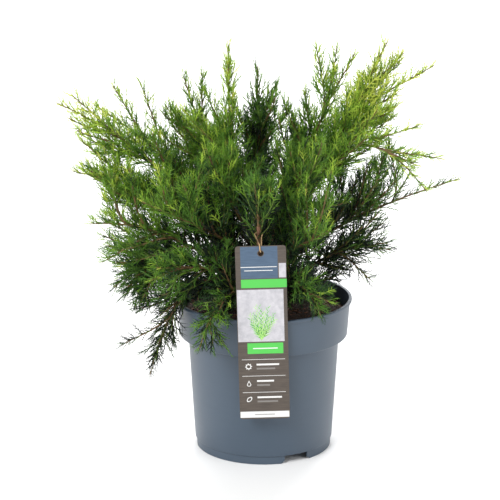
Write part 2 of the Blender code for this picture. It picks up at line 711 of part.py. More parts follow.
def make_card(parts):
    half = CARD_WIDTH / 2.0
    corners = ((half, 0.0, 0.0), (-half, 0.0, 90.0), (-half, -CARD_LENGTH, 180.0),
               (half, -CARD_LENGTH, 270.0))
    outline = []
    for x, y, first in corners:
        centre = (x - math.copysign(CARD_CORNER, x),
                  y - CARD_CORNER if y == 0.0 else y + CARD_CORNER)
        for step in range(4):
            angle = math.radians(first + 30.0 * step)
            outline.append((centre[0] + CARD_CORNER * math.cos(angle),
                            centre[1] + CARD_CORNER * math.sin(angle)))
    turns = [2.0 * math.pi * step / 16 for step in range(16)]
    hole = [(HOLE_RADIUS * math.cos(turn), HOLE_RADIUS * math.sin(turn) - HOLE_DROP) for turn in turns]
    curve = bpy.data.curves.new("card_form", "CURVE")
    curve.dimensions = "2D"
    curve.fill_mode = "BOTH"
    curve.extrude = CARD_THICKNESS / 2.0
    for points in (outline, hole):
        spline = curve.splines.new("POLY")
        spline.points.add(len(points) - 1)
        for point, (x, y) in zip(spline.points, points):
            point.co = (x, y, 0.0, 1.0)
        spline.use_cyclic_u = True
    form = add_object("card_form", curve, parts)
    form.matrix_world = card_place()
    card = add_object("label_card", evaluated_mesh(form), parts, "card")
    bpy.data.objects.remove(form, do_unlink=True)
    return card


def smooth_loop(points, steps):
    """Points along a smooth closed line through the given ones (Catmull-Rom)."""
    count = len(points)
    line = []
    for index in range(count):
        before, start, end, after = (points[(index + shift) % count] for shift in (-1, 0, 1, 2))
        for step in range(steps):
            t = step / steps
            line.append(0.5 * (2 * start + (end - before) * t
                               + (2 * before - 5 * start + 4 * end - after) * t ** 2
                               + (3 * start - before - 3 * end + after) * t ** 3))
    return line


def make_tie(crown, parts):
    """Twine through the card's hole, over its top edge and round the front bough behind it."""
    names = [limb.name for limb in crown.limbs]
    index = names.index(LABEL_LIMB)
    course = crown.courses[index]
    shares = np.linspace(0.0, 1.0, 400)
    heights = [point_at(course, share)[0][2] for share in shares]
    share = shares[int(np.argmax(np.array(heights) > TIE_HEIGHT))]
    bough, along = point_at(course, share)
    across, back = sideways(along)
    across = across * math.copysign(1.0, across[0])
    back = back * math.copysign(1.0, back[1])
    round_bough = limb_radius(share, crown.limbs[index].bare) + TWINE_RADIUS + 1.4 * MM
    hole = np.array(card_place() @ Vector((0.0, -HOLE_DROP, 0.0)))
    top = np.array(card_place() @ Vector((0.0, 0.0, 0.0)))
    off_card = CARD_THICKNESS / 2.0 + TWINE_RADIUS + 0.5 * MM
    front = np.array((0.0, -1.0, 0.0))
    side = np.array((1.0, 0.0, 0.0))
    up = np.array((0.0, 0.0, 1.0))
    half_hole = HOLE_RADIUS - TWINE_RADIUS - 0.5 * MM
    lower = hole + up * half_hole
    points = [
        bough + back * round_bough,
        bough - across * round_bough,
        bough - across * round_bough * 0.75 - back * round_bough * 0.9,
        top - side * 1.4 * MM + up * (TWINE_RADIUS + 0.7 * MM) - front * 1.6 * MM,
        top - side * 0.9 * MM + up * (TWINE_RADIUS + 0.6 * MM) + front * 0.6 * MM,
        (top + hole) / 2.0 - side * 0.5 * MM + front * (off_card + 0.3 * MM),
        lower + front * 0.9 * MM,
        lower - front * 0.9 * MM,
        (top + hole) / 2.0 + side * 0.9 * MM - front * (off_card + 0.5 * MM),
        bough + across * round_bough * 0.75 - back * round_bough * 0.9,
        bough + across * round_bough,
    ]
    line = smooth_loop(points, 2)
    form = curve_tube("tie_form", line, [TWINE_RADIUS] * len(line), 1, parts, closed=True)
    tie = add_object("label_tie", evaluated_mesh(form), parts, "twine")
    bpy.data.objects.remove(form, do_unlink=True)
    return tie


def main():
    clear_scene()
    parts = new_collection("potted_pfitzer_juniper")
    cutters = new_collection("cutters")
    make_pot(parts, cutters)
    make_soil(parts)
    trunk, trunk_cutter = make_trunk(parts, cutters)
    crown = Crown(LIMBS)
    for index, limb in enumerate(LIMBS):
        if limb.name not in BOUGHLESS:
            make_bough(crown, index, parts, trunk_cutter)
        make_mass(crown, index, parts, trunk_cutter)
    make_card(parts)
    make_tie(crown, parts)


main()
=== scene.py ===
# A spreading juniper in a slate-blue nursery pot: the looks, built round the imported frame.
# Lengths are metres. X is right, Y is back, Z is up, and the pot's axis is the Z axis.
import math
import random

import bmesh
import bpy
import numpy as np
from mathutils import Matrix, Vector


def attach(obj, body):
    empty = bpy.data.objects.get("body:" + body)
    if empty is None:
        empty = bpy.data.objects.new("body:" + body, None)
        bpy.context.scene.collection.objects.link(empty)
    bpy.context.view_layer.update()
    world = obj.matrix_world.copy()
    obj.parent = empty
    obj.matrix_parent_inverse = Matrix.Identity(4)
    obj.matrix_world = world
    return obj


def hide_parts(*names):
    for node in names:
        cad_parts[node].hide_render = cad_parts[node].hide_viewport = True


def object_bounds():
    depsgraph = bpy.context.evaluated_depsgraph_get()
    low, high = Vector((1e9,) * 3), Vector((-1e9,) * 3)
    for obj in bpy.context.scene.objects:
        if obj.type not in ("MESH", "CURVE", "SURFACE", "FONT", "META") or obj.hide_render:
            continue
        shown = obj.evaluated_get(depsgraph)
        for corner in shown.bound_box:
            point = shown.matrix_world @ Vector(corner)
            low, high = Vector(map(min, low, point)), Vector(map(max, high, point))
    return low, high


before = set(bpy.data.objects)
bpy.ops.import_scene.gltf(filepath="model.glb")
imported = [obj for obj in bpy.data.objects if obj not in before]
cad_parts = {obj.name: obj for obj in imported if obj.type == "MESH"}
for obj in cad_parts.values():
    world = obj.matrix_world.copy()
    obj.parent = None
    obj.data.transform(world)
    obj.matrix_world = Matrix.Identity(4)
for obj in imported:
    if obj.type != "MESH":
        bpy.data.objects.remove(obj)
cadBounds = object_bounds()
mm = 0.001
goldenAngle = math.pi * (3.0 - math.sqrt(5.0))
print("frame loaded,", len(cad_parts), "nodes")


# Shader maths

def setInput(tree, target, value):
    # links a wrapped socket, or sets a plain value
    if isinstance(value, Sock):
        tree.links.new(value.out, target)
    else:
        target.default_value = value


class Sock:
    # wraps a socket so that + and * add Math nodes
    def __init__(self, tree, out):
        self.tree, self.out = tree, out

    def math(self, operation, other):
        node = self.tree.nodes.new("ShaderNodeMath")
        node.operation = operation
        setInput(self.tree, node.inputs[0], self)
        setInput(self.tree, node.inputs[1], other)
        return Sock(self.tree, node.outputs[0])

    def __add__(self, other): return self.math("ADD", other)
    __radd__ = __add__
    def __mul__(self, other): return self.math("MULTIPLY", other)
    __rmul__ = __mul__


class Finish:
    # one material, with short ways to add nodes to it
    def __init__(self, name, colour, roughness):
        self.material = bpy.data.materials.new(name)
        self.material.use_nodes = True
        self.tree = self.material.node_tree
        self.shader = self.tree.nodes["Principled BSDF"]
        self.shader.inputs["Base Color"].default_value = (*linear(colour), 1.0)
        self.shader.inputs["Roughness"].default_value = roughness

    def node(self, kind, output=0, **inputs):
        made = self.tree.nodes.new(kind)
        for key, value in inputs.items():
            setInput(self.tree, made.inputs[key], value)
        return Sock(self.tree, made.outputs[output])

    def coords(self, kind="Object"):
        return self.node("ShaderNodeTexCoord", kind)

    def noise(self, vector, scale, detail=3.0, rough=0.55):
        return self.node("ShaderNodeTexNoise", Vector=vector, Scale=scale, Detail=detail, Roughness=rough)

    def stretched(self, vector, scale):
        return self.node("ShaderNodeMapping", Vector=vector, Scale=scale)

    def mix(self, factor, first, second):
        # a Mix node takes its two colours at inputs 6 and 7 and gives the mixed one at output 2
        node = self.tree.nodes.new("ShaderNodeMix")
        node.data_type = "RGBA"
        setInput(self.tree, node.inputs[0], factor)
        for place, colour in ((6, first), (7, second)):
            value = colour if isinstance(colour, Sock) else (*linear(colour), 1.0)
            setInput(self.tree, node.inputs[place], value)
        return Sock(self.tree, node.outputs[2])

    def feed(self, socket, value):
        self.tree.links.new(value.out, self.shader.inputs[socket])

    def bump(self, height, strength, distance):
        made = self.node("ShaderNodeBump", Height=height, Strength=strength, Distance=distance)
        self.feed("Normal", made)


def linear(colour):
    # 8-bit screen colour to linear
    return tuple((c / 255.0 / 12.92) if c <= 10 else ((c / 255.0 + 0.055) / 1.055) ** 2.4 for c in colour)


# Making and handing over pieces

def linked(name, data):
    # a new object, put in the scene
    obj = bpy.data.objects.new(name, data)
    bpy.context.scene.collection.objects.link(obj)
    return obj


def meshObject(name, verts, faces, material, smooth=True):
    mesh = bpy.data.meshes.new(name)
    mesh.from_pydata([tuple(v) for v in verts], [], [tuple(f) for f in faces])
    mesh.materials.append(material)
    mesh.update()
    if smooth:
        mesh.shade_smooth()
    return linked(name, mesh)


def plainMesh(obj):
    # the object as it is drawn, modifiers and all, in one plain mesh
    bpy.context.view_layer.update()
    return bpy.data.meshes.new_from_object(obj.evaluated_get(bpy.context.evaluated_depsgraph_get()))


def handOver(obj, slotName, *nodes):
    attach(obj, "root")
    if nodes:
        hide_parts(*nodes)


def lathe(profile, turns):
    # a closed profile of (radius, height) turned about Z, as verts and quads
    angles = np.linspace(0.0, 2.0 * math.pi, turns, endpoint=False)
    verts = [(r * math.cos(a), r * math.sin(a), z) for a in angles for r, z in profile]
    count = len(profile)
    faces = []
    for turn in range(turns):
        here, after = turn * count, ((turn + 1) % turns) * count
        for step in range(count):
            up = (step + 1) % count
            faces.append((here + step, after + step, after + up, here + up))
    return verts, faces


def rounded(corners, steps=4):
    # a closed outline of (x, y, rounding), each corner eased by a small quadratic curve
    line = []
    for index, (x, y, rounding) in enumerate(corners):
        here, ends = np.array((x, y)), []
        for beside in (corners[index - 1], corners[(index + 1) % len(corners)]):
            way = np.array(beside[:2]) - here
            size = np.linalg.norm(way)
            ends.append(here + way / size * min(rounding, size * 0.45))
        for step in range(steps + 1):
            t = step / steps
            line.append(tuple((1 - t) ** 2 * ends[0] + 2 * t * (1 - t) * here + t ** 2 * ends[1]))
    return line


# Pot

pot = dict(
    turns=160, wall=1.5 * mm, rimRadius=95.0 * mm, rimHeight=165.3 * mm, lipDepth=3.0 * mm,
    lipOverhang=1.9 * mm, lipSlope=0.2 * mm, collarRadius=90.4 * mm, collarHeight=125.0 * mm,
    bodyTop=81.5 * mm, bodyFoot=74.6 * mm, footRadius=73.4 * mm, footHeight=8.7 * mm,
    footThickness=2.0 * mm, footOverlap=0.6 * mm, floor=1.8 * mm, padRadius=15.0 * mm,
    padHole=2.0 * mm, gaps=3, gapAngle=21.6, gapFirst=-61.6, gapRounding=3.0 * mm,
    colour=(57, 70, 84), pale=(71, 86, 101),
)


def potPlastic():
    made = Finish("slateBluePlastic", pot["colour"], 0.42)
    place = made.coords()
    cloud = made.noise(place, 14.0, 3.0)
    grain = made.noise(place, 900.0, 2.0)
    scuff = made.noise(made.stretched(place, (30.0, 30.0, 260.0)), 1.0, 4.0)
    made.feed("Base Color", made.mix(cloud * 0.7 + scuff * 0.2, pot["colour"], pot["pale"]))
    made.feed("Roughness", cloud * 0.14 + 0.34)
    made.bump(grain, 0.12, 0.0003)
    return made.material


def makePot():
    p = pot
    floorTop = p["footHeight"] + p["floor"]
    collarTop = p["rimHeight"] - p["lipDepth"]
    collarTopRadius = p["rimRadius"] - p["lipOverhang"]
    # radius, height and rounding of each corner, from the floor up the inside and down the outside
    outline = [
        (p["bodyFoot"] - p["wall"], floorTop, 2.0 * mm),
        (p["bodyTop"] - p["wall"], p["collarHeight"] + p["wall"], 0.8 * mm),
        (p["collarRadius"] - p["wall"], p["collarHeight"] + p["wall"], 1.0 * mm),
        (collarTopRadius - p["wall"], p["rimHeight"], 0.5 * mm),
        (p["rimRadius"], p["rimHeight"], 0.8 * mm),
        (p["rimRadius"], collarTop, 0.6 * mm),
        (collarTopRadius, collarTop - p["lipSlope"], 0.8 * mm),
        (p["collarRadius"], p["collarHeight"], 1.3 * mm),
        (p["bodyTop"], p["collarHeight"], 0.8 * mm),
        (p["bodyFoot"], p["footHeight"], 0.9 * mm),
        (p["padRadius"], p["footHeight"], 0.5 * mm),
        (p["padRadius"], 0.0, 0.6 * mm),
        (p["padHole"], 0.0, 0.2 * mm),
        (p["padHole"], floorTop, 0.2 * mm),
    ]
    verts, faces = lathe(rounded(outline), p["turns"])
    pitch, gap = 360.0 / p["gaps"], p["gapAngle"]
    for index in range(p["gaps"]):
        addFootArc(verts, faces, p["gapFirst"] + pitch * index + gap / 2.0, pitch - gap)
    obj = meshObject("potShell", verts, faces, potPlastic())
    tidyNormals(obj)
    handOver(obj, "pot_plastic", "pot")
    print("pot made")


def addFootArc(verts, faces, start, sweep, steps=34):
    # one stretch of the foot ring; its ends taper up into rounded notches
    p = pot
    base = len(verts)
    outer, inner = p["footRadius"], p["footRadius"] - p["footThickness"]
    curve = p["gapRounding"]
    top = p["footHeight"] + p["footOverlap"]
    for step in range(steps + 1):
        share = step / steps
        angle = math.radians(start + sweep * share)
        edge = min(share, 1.0 - share) * math.radians(sweep) * p["footRadius"]
        low = 0.0 if edge >= curve else curve - math.sqrt(curve ** 2 - (curve - edge) ** 2)
        for radius, height in ((outer, top), (outer, low), (inner, low), (inner, top)):
            verts.append((radius * math.cos(angle), radius * math.sin(angle), height))
    for step in range(steps):
        here, after = base + 4 * step, base + 4 * (step + 1)
        for side in range(4):
            up = (side + 1) % 4
            faces.append((here + side, after + side, after + up, here + up))
    faces.append(tuple(base + side for side in (3, 2, 1, 0)))
    faces.append(tuple(base + 4 * steps + side for side in (0, 1, 2, 3)))


def tidyNormals(obj):
    bm = bmesh.new()
    bm.from_mesh(obj.data)
    bmesh.ops.recalc_face_normals(bm, faces=bm.faces)
    bm.to_mesh(obj.data)
    bm.free()
    obj.data.set_sharp_from_angle(angle=math.radians(40.0))


# Soil

soil = dict(
    seed=12, top=149.7 * mm, radius=89.6 * mm, deep=12.0 * mm, footShare=0.97, rings=46, turns=120,
    lump=2.4 * mm, dip=0.8 * mm, level=15.0 * mm, easing=10.0 * mm, colour=(38, 29, 24),
    second=(62, 46, 36), crumbs=2600, crumbSizes=(0.6, 1.5), crumbColour=(46, 34, 27),
    crumbSecond=(80, 58, 42), chips=520, chipSizes=(0.8, 2.2), chipColour=(92, 58, 40),
    chipSecond=(130, 88, 62),
)


def heightNoise(x, y, rng):
    # a sum of seeded waves
    total = np.zeros_like(x)
    for octave in range(1, 5):
        for wave in range(5):
            angle = rng.uniform(0, 2 * math.pi)
            size = 120.0 * 1.9 ** octave
            run = (x * math.cos(angle) + y * math.sin(angle)) * size
            total += np.sin(run + rng.uniform(0, 6.3)) / octave
    return total / 9.0


def soilFinish(name, colour, second, roughness=0.95):
    made = Finish(name, colour, roughness)
    place = made.coords()
    made.feed("Base Color", made.mix(made.noise(place, 260.0, 4.0), colour, second))
    made.bump(made.noise(place, 700.0, 4.0), 0.6, 0.0008)
    return made.material


def makeSoil():
    s, turns = soil, soil["turns"]
    rng = random.Random(s["seed"])
    radii = np.linspace(0.0, 1.0, s["rings"] + 1)[1:] * s["radius"]
    angles = np.linspace(0.0, 2.0 * math.pi, turns, endpoint=False)
    r, a = np.meshgrid(radii, angles, indexing="ij")
    x, y = r * np.cos(a), r * np.sin(a)
    rough = np.clip((r - s["level"]) / s["easing"], 0.0, 1.0)
    z = s["top"] + s["lump"] * heightNoise(x, y, rng) * rough - s["dip"] * rough
    footRadius, footHeight = s["radius"] * s["footShare"], s["top"] - s["deep"]
    verts = [(0.0, 0.0, s["top"])] + list(zip(x.ravel(), y.ravel(), z.ravel()))
    verts += [(footRadius * math.cos(t), footRadius * math.sin(t), footHeight) for t in angles]
    faces = [(0, 1 + j, 1 + (j + 1) % turns) for j in range(turns)]
    for ring in range(s["rings"]):
        here, after = 1 + ring * turns, 1 + (ring + 1) * turns
        for j in range(turns):
            k = (j + 1) % turns
            faces.append((here + j, after + j, after + k, here + k))
    faces.append(tuple(range(len(verts) - 1, len(verts) - turns - 1, -1)))
    bed = meshObject("soilBed", verts, faces, soilFinish("darkSoil", s["colour"], s["second"]))
    handOver(bed, "soil", "potting_soil")
    spots = crumbSpots(s["crumbs"], rng, z, s["crumbSizes"])
    growOnPoints("soilCrumbs", crumb("crumb", (1.0, 1.0, 0.8), 2), spots,
                 soilFinish("soilCrumb", s["crumbColour"], s["crumbSecond"]), "soil")
    spots = crumbSpots(s["chips"], rng, z, s["chipSizes"])
    growOnPoints("barkChips", crumb("chip", (2.2, 0.9, 0.35), 3), spots,
                 soilFinish("barkChip", s["chipColour"], s["chipSecond"], 0.8), "soil")
    print("soil made")


def crumbSpots(count, rng, z, sizes):
    # places, directions, rolls and sizes of lumps lying on the soil
    spots = []
    for index in range(count):
        radius = soil["radius"] * math.sqrt(rng.uniform(0.03, 0.97))
        angle = rng.uniform(0.0, 2.0 * math.pi)
        i = min(int(radius / soil["radius"] * soil["rings"]), soil["rings"] - 1)
        j = int(angle / (2.0 * math.pi) * soil["turns"]) % soil["turns"]
        size = rng.uniform(*sizes)
        turn = Vector((rng.gauss(0, 0.4), rng.gauss(0, 0.4), 1.0)).normalized()
        place = (radius * math.cos(angle), radius * math.sin(angle), z[i, j] + 0.1 * mm)
        spots.append((place, tuple(turn), rng.uniform(0, 6.28), size))
    return spots


def crumb(name, shape, seed):
    # a little lump, about a millimetre across
    bm = bmesh.new()
    bmesh.ops.create_icosphere(bm, subdivisions=1, radius=0.9 * mm)
    rng = random.Random(seed)
    for vert in bm.verts:
        vert.co = Vector([c * share for c, share in zip(vert.co, shape)]) * rng.uniform(0.75, 1.2)
    mesh = bpy.data.meshes.new(name)
    bm.to_mesh(mesh)
    bm.free()
    return mesh


def growOnPoints(name, template, spots, material, slotName, nodes=()):
    # Geometry Nodes put a copy of the template on each point, then make them one plain mesh
    points = bpy.data.meshes.new(name)
    points.from_pydata([spot[0] for spot in spots], [], [])
    obj = linked(name, points)
    source = linked(name + "Template", template)
    tree = bpy.data.node_groups.new(name + "Tree", "GeometryNodeTree")
    tree.interface.new_socket("Geometry", in_out="INPUT", socket_type="NodeSocketGeometry")
    copied = tree.interface.new_socket("Copied piece", in_out="INPUT", socket_type="NodeSocketObject")
    tree.interface.new_socket("Geometry", in_out="OUTPUT", socket_type="NodeSocketGeometry")
    given = tree.nodes.new("NodeGroupInput")
    result = tree.nodes.new("NodeGroupOutput")
    info = tree.nodes.new("GeometryNodeObjectInfo")
    place = tree.nodes.new("GeometryNodeInstanceOnPoints")
    real = tree.nodes.new("GeometryNodeRealizeInstances")
    paint = tree.nodes.new("GeometryNodeSetMaterial")
    paint.inputs["Material"].default_value = material
    link = tree.links.new
    for field, kind, socket, values in (("turn", "QUATERNION", "Rotation", quaternions(spots).ravel()),
                                        ("size", "FLOAT", "Scale", [spot[3] for spot in spots])):
        points.attributes.new(field, kind, "POINT").data.foreach_set("value", values)
        read = tree.nodes.new("GeometryNodeInputNamedAttribute")
        read.data_type = kind
        read.inputs["Name"].default_value = field
        link(read.outputs["Attribute"], place.inputs[socket])
    link(given.outputs["Copied piece"], info.inputs["Object"])
    link(given.outputs["Geometry"], place.inputs["Points"])
    link(info.outputs["Geometry"], place.inputs["Instance"])
    link(place.outputs["Instances"], real.inputs["Geometry"])
    link(real.outputs["Geometry"], paint.inputs["Geometry"])
    link(paint.outputs["Geometry"], result.inputs["Geometry"])
    grow = obj.modifiers.new("grow", "NODES")
    grow.node_group = tree
    grow[copied.identifier] = source
    grown = plainMesh(obj)
    obj.modifiers.clear()
    obj.data = grown
    bpy.data.objects.remove(source, do_unlink=True)
    grown.shade_smooth()
    handOver(obj, slotName, *nodes)


def quaternions(spots):
    # each turns +Z to the spot's direction, after a roll about +Z
    d = np.array([spot[1] for spot in spots], dtype=float)
    d /= np.linalg.norm(d, axis=1)[:, None]
    roll = np.array([spot[2] for spot in spots], dtype=float) / 2.0
    w = 1.0 + d[:, 2]
    flip = w < 1e-6
    q = np.stack([w, -d[:, 1], d[:, 0], np.zeros(len(d))], axis=1)
    q[flip] = (0.0, 1.0, 0.0, 0.0)
    q /= np.linalg.norm(q, axis=1)[:, None]
    c, s = np.cos(roll), np.sin(roll)
    w1, x1, y1, z1 = q.T
    rolled = [w1 * c - z1 * s, x1 * c + y1 * s, y1 * c - x1 * s, w1 * s + z1 * c]
    return np.stack(rolled, axis=1).astype(np.float32)


# Limbs, by the source's rule

trunk = dict(foot=150.0 * mm, top=88.0 * mm, lean=(-5.0 * mm, 3.0 * mm),
             taper=((0.0, 14.5), (4.0, 12.2), (12.0, 10.4), (34.0, 9.2), (62.0, 8.0), (88.0, 6.6)))
limbSizes = dict(bough=2.9 * mm, stem=1.7 * mm, tip=0.5 * mm, samples=80)
# headings and angles in degrees, reaches and heights in millimetres
limbFields = ("name", "heading", "reach", "height", "foot", "rise", "arrive", "spread", "bare")
limbTable = (
    ("left_whip", 183, 220, 380, 50, 42, 24, 38, 0.36),
    ("left_upper", 165, 192, 367, 58, 50, 30, 38, 0.36),
    ("left_tall", 161, 92, 405, 66, 56, 72, 34, 0.34),
    ("tall_left", 200, 40, 444, 70, 62, 88, 32, 0.36),
    ("centre", 100, 38, 412, 76, 62, 88, 32, 0.45),
    ("left_mid", 188, 205, 310, 40, 34, 12, 36, 0.34),
    ("left_low", 196, 200, 258, 31, 26, -4, 36, 0.34),
    ("left_lower", 180, 172, 163, 20, 26, -46, 34, 0.36),
    ("left_droop", 207, 136, 92, 11, 42, -76, 32, 0.38),
    ("front_left_droop", 238, 126, 138, 7, 38, -72, 30, 0.36),
    ("front_left_low", 222, 158, 212, 25, 24, -18, 34, 0.34),
    ("front_left_mid", 212, 150, 290, 48, 40, 28, 36, 0.34),
    ("front_left", 229, 92, 345, 60, 52, 66, 36, 0.34),
    ("front", 266, 100, 318, 32, 34, 76, 34, 0.66),
    ("front_right_low", 296, 132, 178, 14, 24, -44, 34, 0.34),
    ("front_right_mid", 300, 130, 268, 40, 40, 30, 36, 0.34),
    ("front_right", 308, 96, 352, 62, 54, 68, 36, 0.34),
    ("right_tall", 2, 76, 437, 76, 60, 84, 34, 0.34),
    ("right_high", 359, 130, 445, 66, 52, 64, 36, 0.34),
    ("right_arch", 343, 178, 290, 52, 56, -52, 34, 0.36),
    ("right_far", 4, 212, 292, 42, 32, 16, 38, 0.34),
    ("right_low", 350, 138, 222, 22, 22, -16, 34, 0.34),
    ("back_right", 46, 160, 385, 58, 48, 52, 40, 0.34),
    ("back_right_low", 30, 182, 268, 30, 28, 6, 38, 0.34),
    ("back", 92, 158, 338, 52, 42, 38, 40, 0.34), ("back_low", 74, 162, 206, 16, 24, -26, 36, 0.34),
    ("back_left", 130, 162, 350, 60, 46, 44, 40, 0.34),
    ("back_left_low", 142, 184, 262, 34, 28, 4, 38, 0.34),
)
# how far a limb swings aside, and how far it bows out
swings = dict(left_lower=-16, left_droop=4, front_left_droop=14, front_left_low=6, front_left_mid=12,
              front_left=8, right_tall=12, back_left=-6)
bows = dict(left_lower=0.5, left_droop=0.64, front_left_droop=0.55, front=0.45, front_right_low=0.45,
            right_arch=0.66, back_low=0.5)
# shoots off a limb: share along it, then the heading, reach and height of the tip
shoots = dict(
    left_whip=((0.55, 187, 200, 389),), left_upper=((0.5, 160, 173, 384), (0.3, 167, 135, 393)),
    left_tall=((0.45, 171, 66, 408),), tall_left=((0.6, 212, 44, 426),), centre=((0.35, 60, 22, 377),),
    left_mid=((0.45, 185, 193, 341),), left_low=((0.4, 198, 178, 218),),
    left_droop=((0.45, 196, 158, 123),), right_tall=((0.55, 18, 58, 433), (0.5, 346, 96, 432)),
    right_high=((0.55, 5, 147, 427), (0.45, 2, 178, 415)),
    right_arch=((0.6, 347, 188, 326), (0.35, 344, 166, 362)), right_low=((0.4, 342, 118, 194),),
)
fineShoots = dict(
    right_tall=((0.40, 0, 21, 379), (0.30, 43, 43, 352), (0.46, 10, 44, 388), (0.28, 350, 16, 360)),
    centre=((0.62, 55, 24, 392), (0.50, 330, 14, 384), (0.46, 20, 30, 370), (0.42, 150, 36, 372)),
    left_tall=(
        (0.52, 180, 106, 366), (0.44, 172, 100, 352), (0.40, 178, 108, 342), (0.50, 182, 103, 374),
    ),
    tall_left=((0.38, 193, 86, 374), (0.48, 180, 61, 388), (0.26, 265, 30, 320), (0.45, 215, 40, 392)),
    right_arch=((0.45, 345, 122, 376), (0.42, 335, 118, 352), (0.38, 350, 128, 346)),
    right_high=(
        (0.60, 0, 129, 396), (0.68, 7, 144, 418), (0.55, 352, 134, 372), (0.62, 358, 140, 388),
        (0.50, 6, 126, 368), (0.46, 354, 130, 360), (0.44, 12, 118, 352), (0.58, 356, 140, 376),
        (0.52, 2, 138, 362),
    ),
    left_droop=(
        (0.42, 193, 129, 168), (0.52, 199, 115, 146), (0.60, 207, 107, 128), (0.32, 222, 100, 184),
        (0.36, 205, 112, 190), (0.38, 186, 122, 184), (0.47, 206, 122, 160), (0.44, 190, 136, 158),
    ),
    left_lower=(
        (0.62, 187, 147, 180), (0.50, 192, 140, 196), (0.40, 180, 172, 252), (0.48, 173, 166, 212),
        (0.36, 196, 118, 206), (0.42, 178, 130, 180), (0.54, 200, 138, 174), (0.58, 182, 150, 168),
        (0.44, 186, 172, 238), (0.52, 180, 168, 222), (0.66, 190, 140, 160), (0.60, 196, 132, 168),
        (0.50, 184, 158, 206),
    ),
    left_whip=(
        (0.55, 180, 170, 330), (0.42, 194, 120, 350), (0.62, 184, 196, 350), (0.56, 178, 188, 338),
        (0.70, 180, 205, 360),
    ),
    left_upper=((0.60, 171, 188, 318), (0.46, 176, 138, 344)),
    left_mid=(
        (0.70, 185, 188, 310), (0.56, 193, 163, 290), (0.48, 176, 160, 268), (0.60, 178, 176, 296),
        (0.54, 190, 172, 280), (0.58, 186, 180, 300), (0.50, 182, 172, 284),
    ),
    left_low=((0.50, 200, 158, 232), (0.40, 190, 138, 212), (0.52, 186, 170, 262)),
    right_low=(
        (0.48, 344, 108, 250), (0.40, 348, 92, 200), (0.55, 350, 122, 262), (0.62, 2, 128, 246),
        (0.44, 356, 104, 230),
    ),
    front_right=((0.36, 325, 104, 284),),
    front_left=((0.55, 234, 61, 333),),
    front_right_low=((0.25, 314, 83, 190), (0.26, 296, 86, 202)),
    front_left_droop=((0.30, 237, 90, 196),),
    back_right_low=(
        (0.28, 25, 96, 188), (0.40, 12, 112, 268), (0.40, 50, 110, 232), (0.22, 62, 72, 238),
    ),
    front_left_low=((0.50, 214, 132, 186),),
    right_far=((0.46, 356, 140, 296), (0.40, 350, 122, 300), (0.44, 8, 128, 284)),
    back=(
        (0.40, 80, 96, 300), (0.50, 104, 110, 330), (0.24, 95, 62, 268), (0.30, 80, 72, 250),
        (0.20, 100, 58, 292),
    ),
    back_low=(
        (0.30, 60, 84, 196), (0.30, 100, 84, 200), (0.50, 84, 120, 236), (0.42, 52, 112, 214),
        (0.22, 88, 66, 222), (0.26, 108, 76, 228),
    ),
    back_left_low=(
        (0.36, 120, 100, 236), (0.50, 150, 120, 262), (0.30, 112, 88, 206), (0.24, 128, 72, 240),
    ),
    back_left=((0.40, 118, 92, 320), (0.24, 120, 60, 266)),
    back_right=((0.40, 70, 96, 330), (0.24, 60, 62, 270)),
)
limbEnds = dict(back_right_low=0.82, left_lower=0.92, left_low=0.95)
plumeWidths = dict(left_droop=0.32, right_low=0.6, back_right_low=0.5, left_low=0.7, right_far=0.36,
                   left_whip=0.62, left_upper=0.6, right_arch=0.32, tall_left=0.7, left_tall=0.75,
                   centre=0.8, right_tall=0.8, right_high=0.85)
boughless = ("front_left_droop", "front_right_low", "back_low")


def trunkAxis(height):
    share = max(height - trunk["taper"][1][0] * mm, 0.0) / trunk["top"]
    return np.array((trunk["lean"][0] * share, trunk["lean"][1] * share, trunk["foot"] + height))


def polar(heading, reach, height):
    angle = math.radians(heading)
    return np.array((reach * math.cos(angle), reach * math.sin(angle), height)) * mm


def toward(heading, elevation):
    h, e = math.radians(heading), math.radians(elevation)
    return np.array((math.cos(h) * math.cos(e), math.sin(h) * math.cos(e), math.sin(e)))


def bezier(a, b, c, d, count):
    t = np.linspace(0.0, 1.0, count)[:, None]
    return (1 - t) ** 3 * a + 3 * t * (1 - t) ** 2 * b + 3 * t ** 2 * (1 - t) * c + t ** 3 * d


def limbCourse(limb):
    start = trunkAxis(limb["foot"] * mm)
    end = polar(limb["heading"], limb["reach"], limb["height"])
    swing = swings.get(limb["name"], 0.0)
    handle = bows.get(limb["name"], 0.4) * np.linalg.norm(end - start)
    leave = start + handle * toward(limb["heading"] + swing, limb["rise"])
    arrive = end - handle * toward(limb["heading"] - swing, limb["arrive"])
    return bezier(start, leave, arrive, end, limbSizes["samples"])


def runOf(line):
    return np.concatenate(([0.0], np.cumsum(np.linalg.norm(np.diff(line, axis=0), axis=1))))


def pointAt(line, share):
    run = runOf(line)
    where = min(max(share, 0.0), 1.0) * run[-1]
    place = np.array([np.interp(where, run, line[:, axis]) for axis in range(3)])
    near = int(np.clip(np.searchsorted(run, where), 1, len(line) - 1))
    along = line[near] - line[near - 1]
    return place, along / np.linalg.norm(along)


def stretch(line, first, last, count):
    return np.array([pointAt(line, share)[0] for share in np.linspace(first, last, count)])


def sideways(along):
    up = np.array((0.0, 0.0, 1.0)) if abs(along[2]) < 0.95 else np.array((1.0, 0.0, 0.0))
    across = np.cross(along, up)
    across /= np.linalg.norm(across)
    return across, np.cross(across, along)


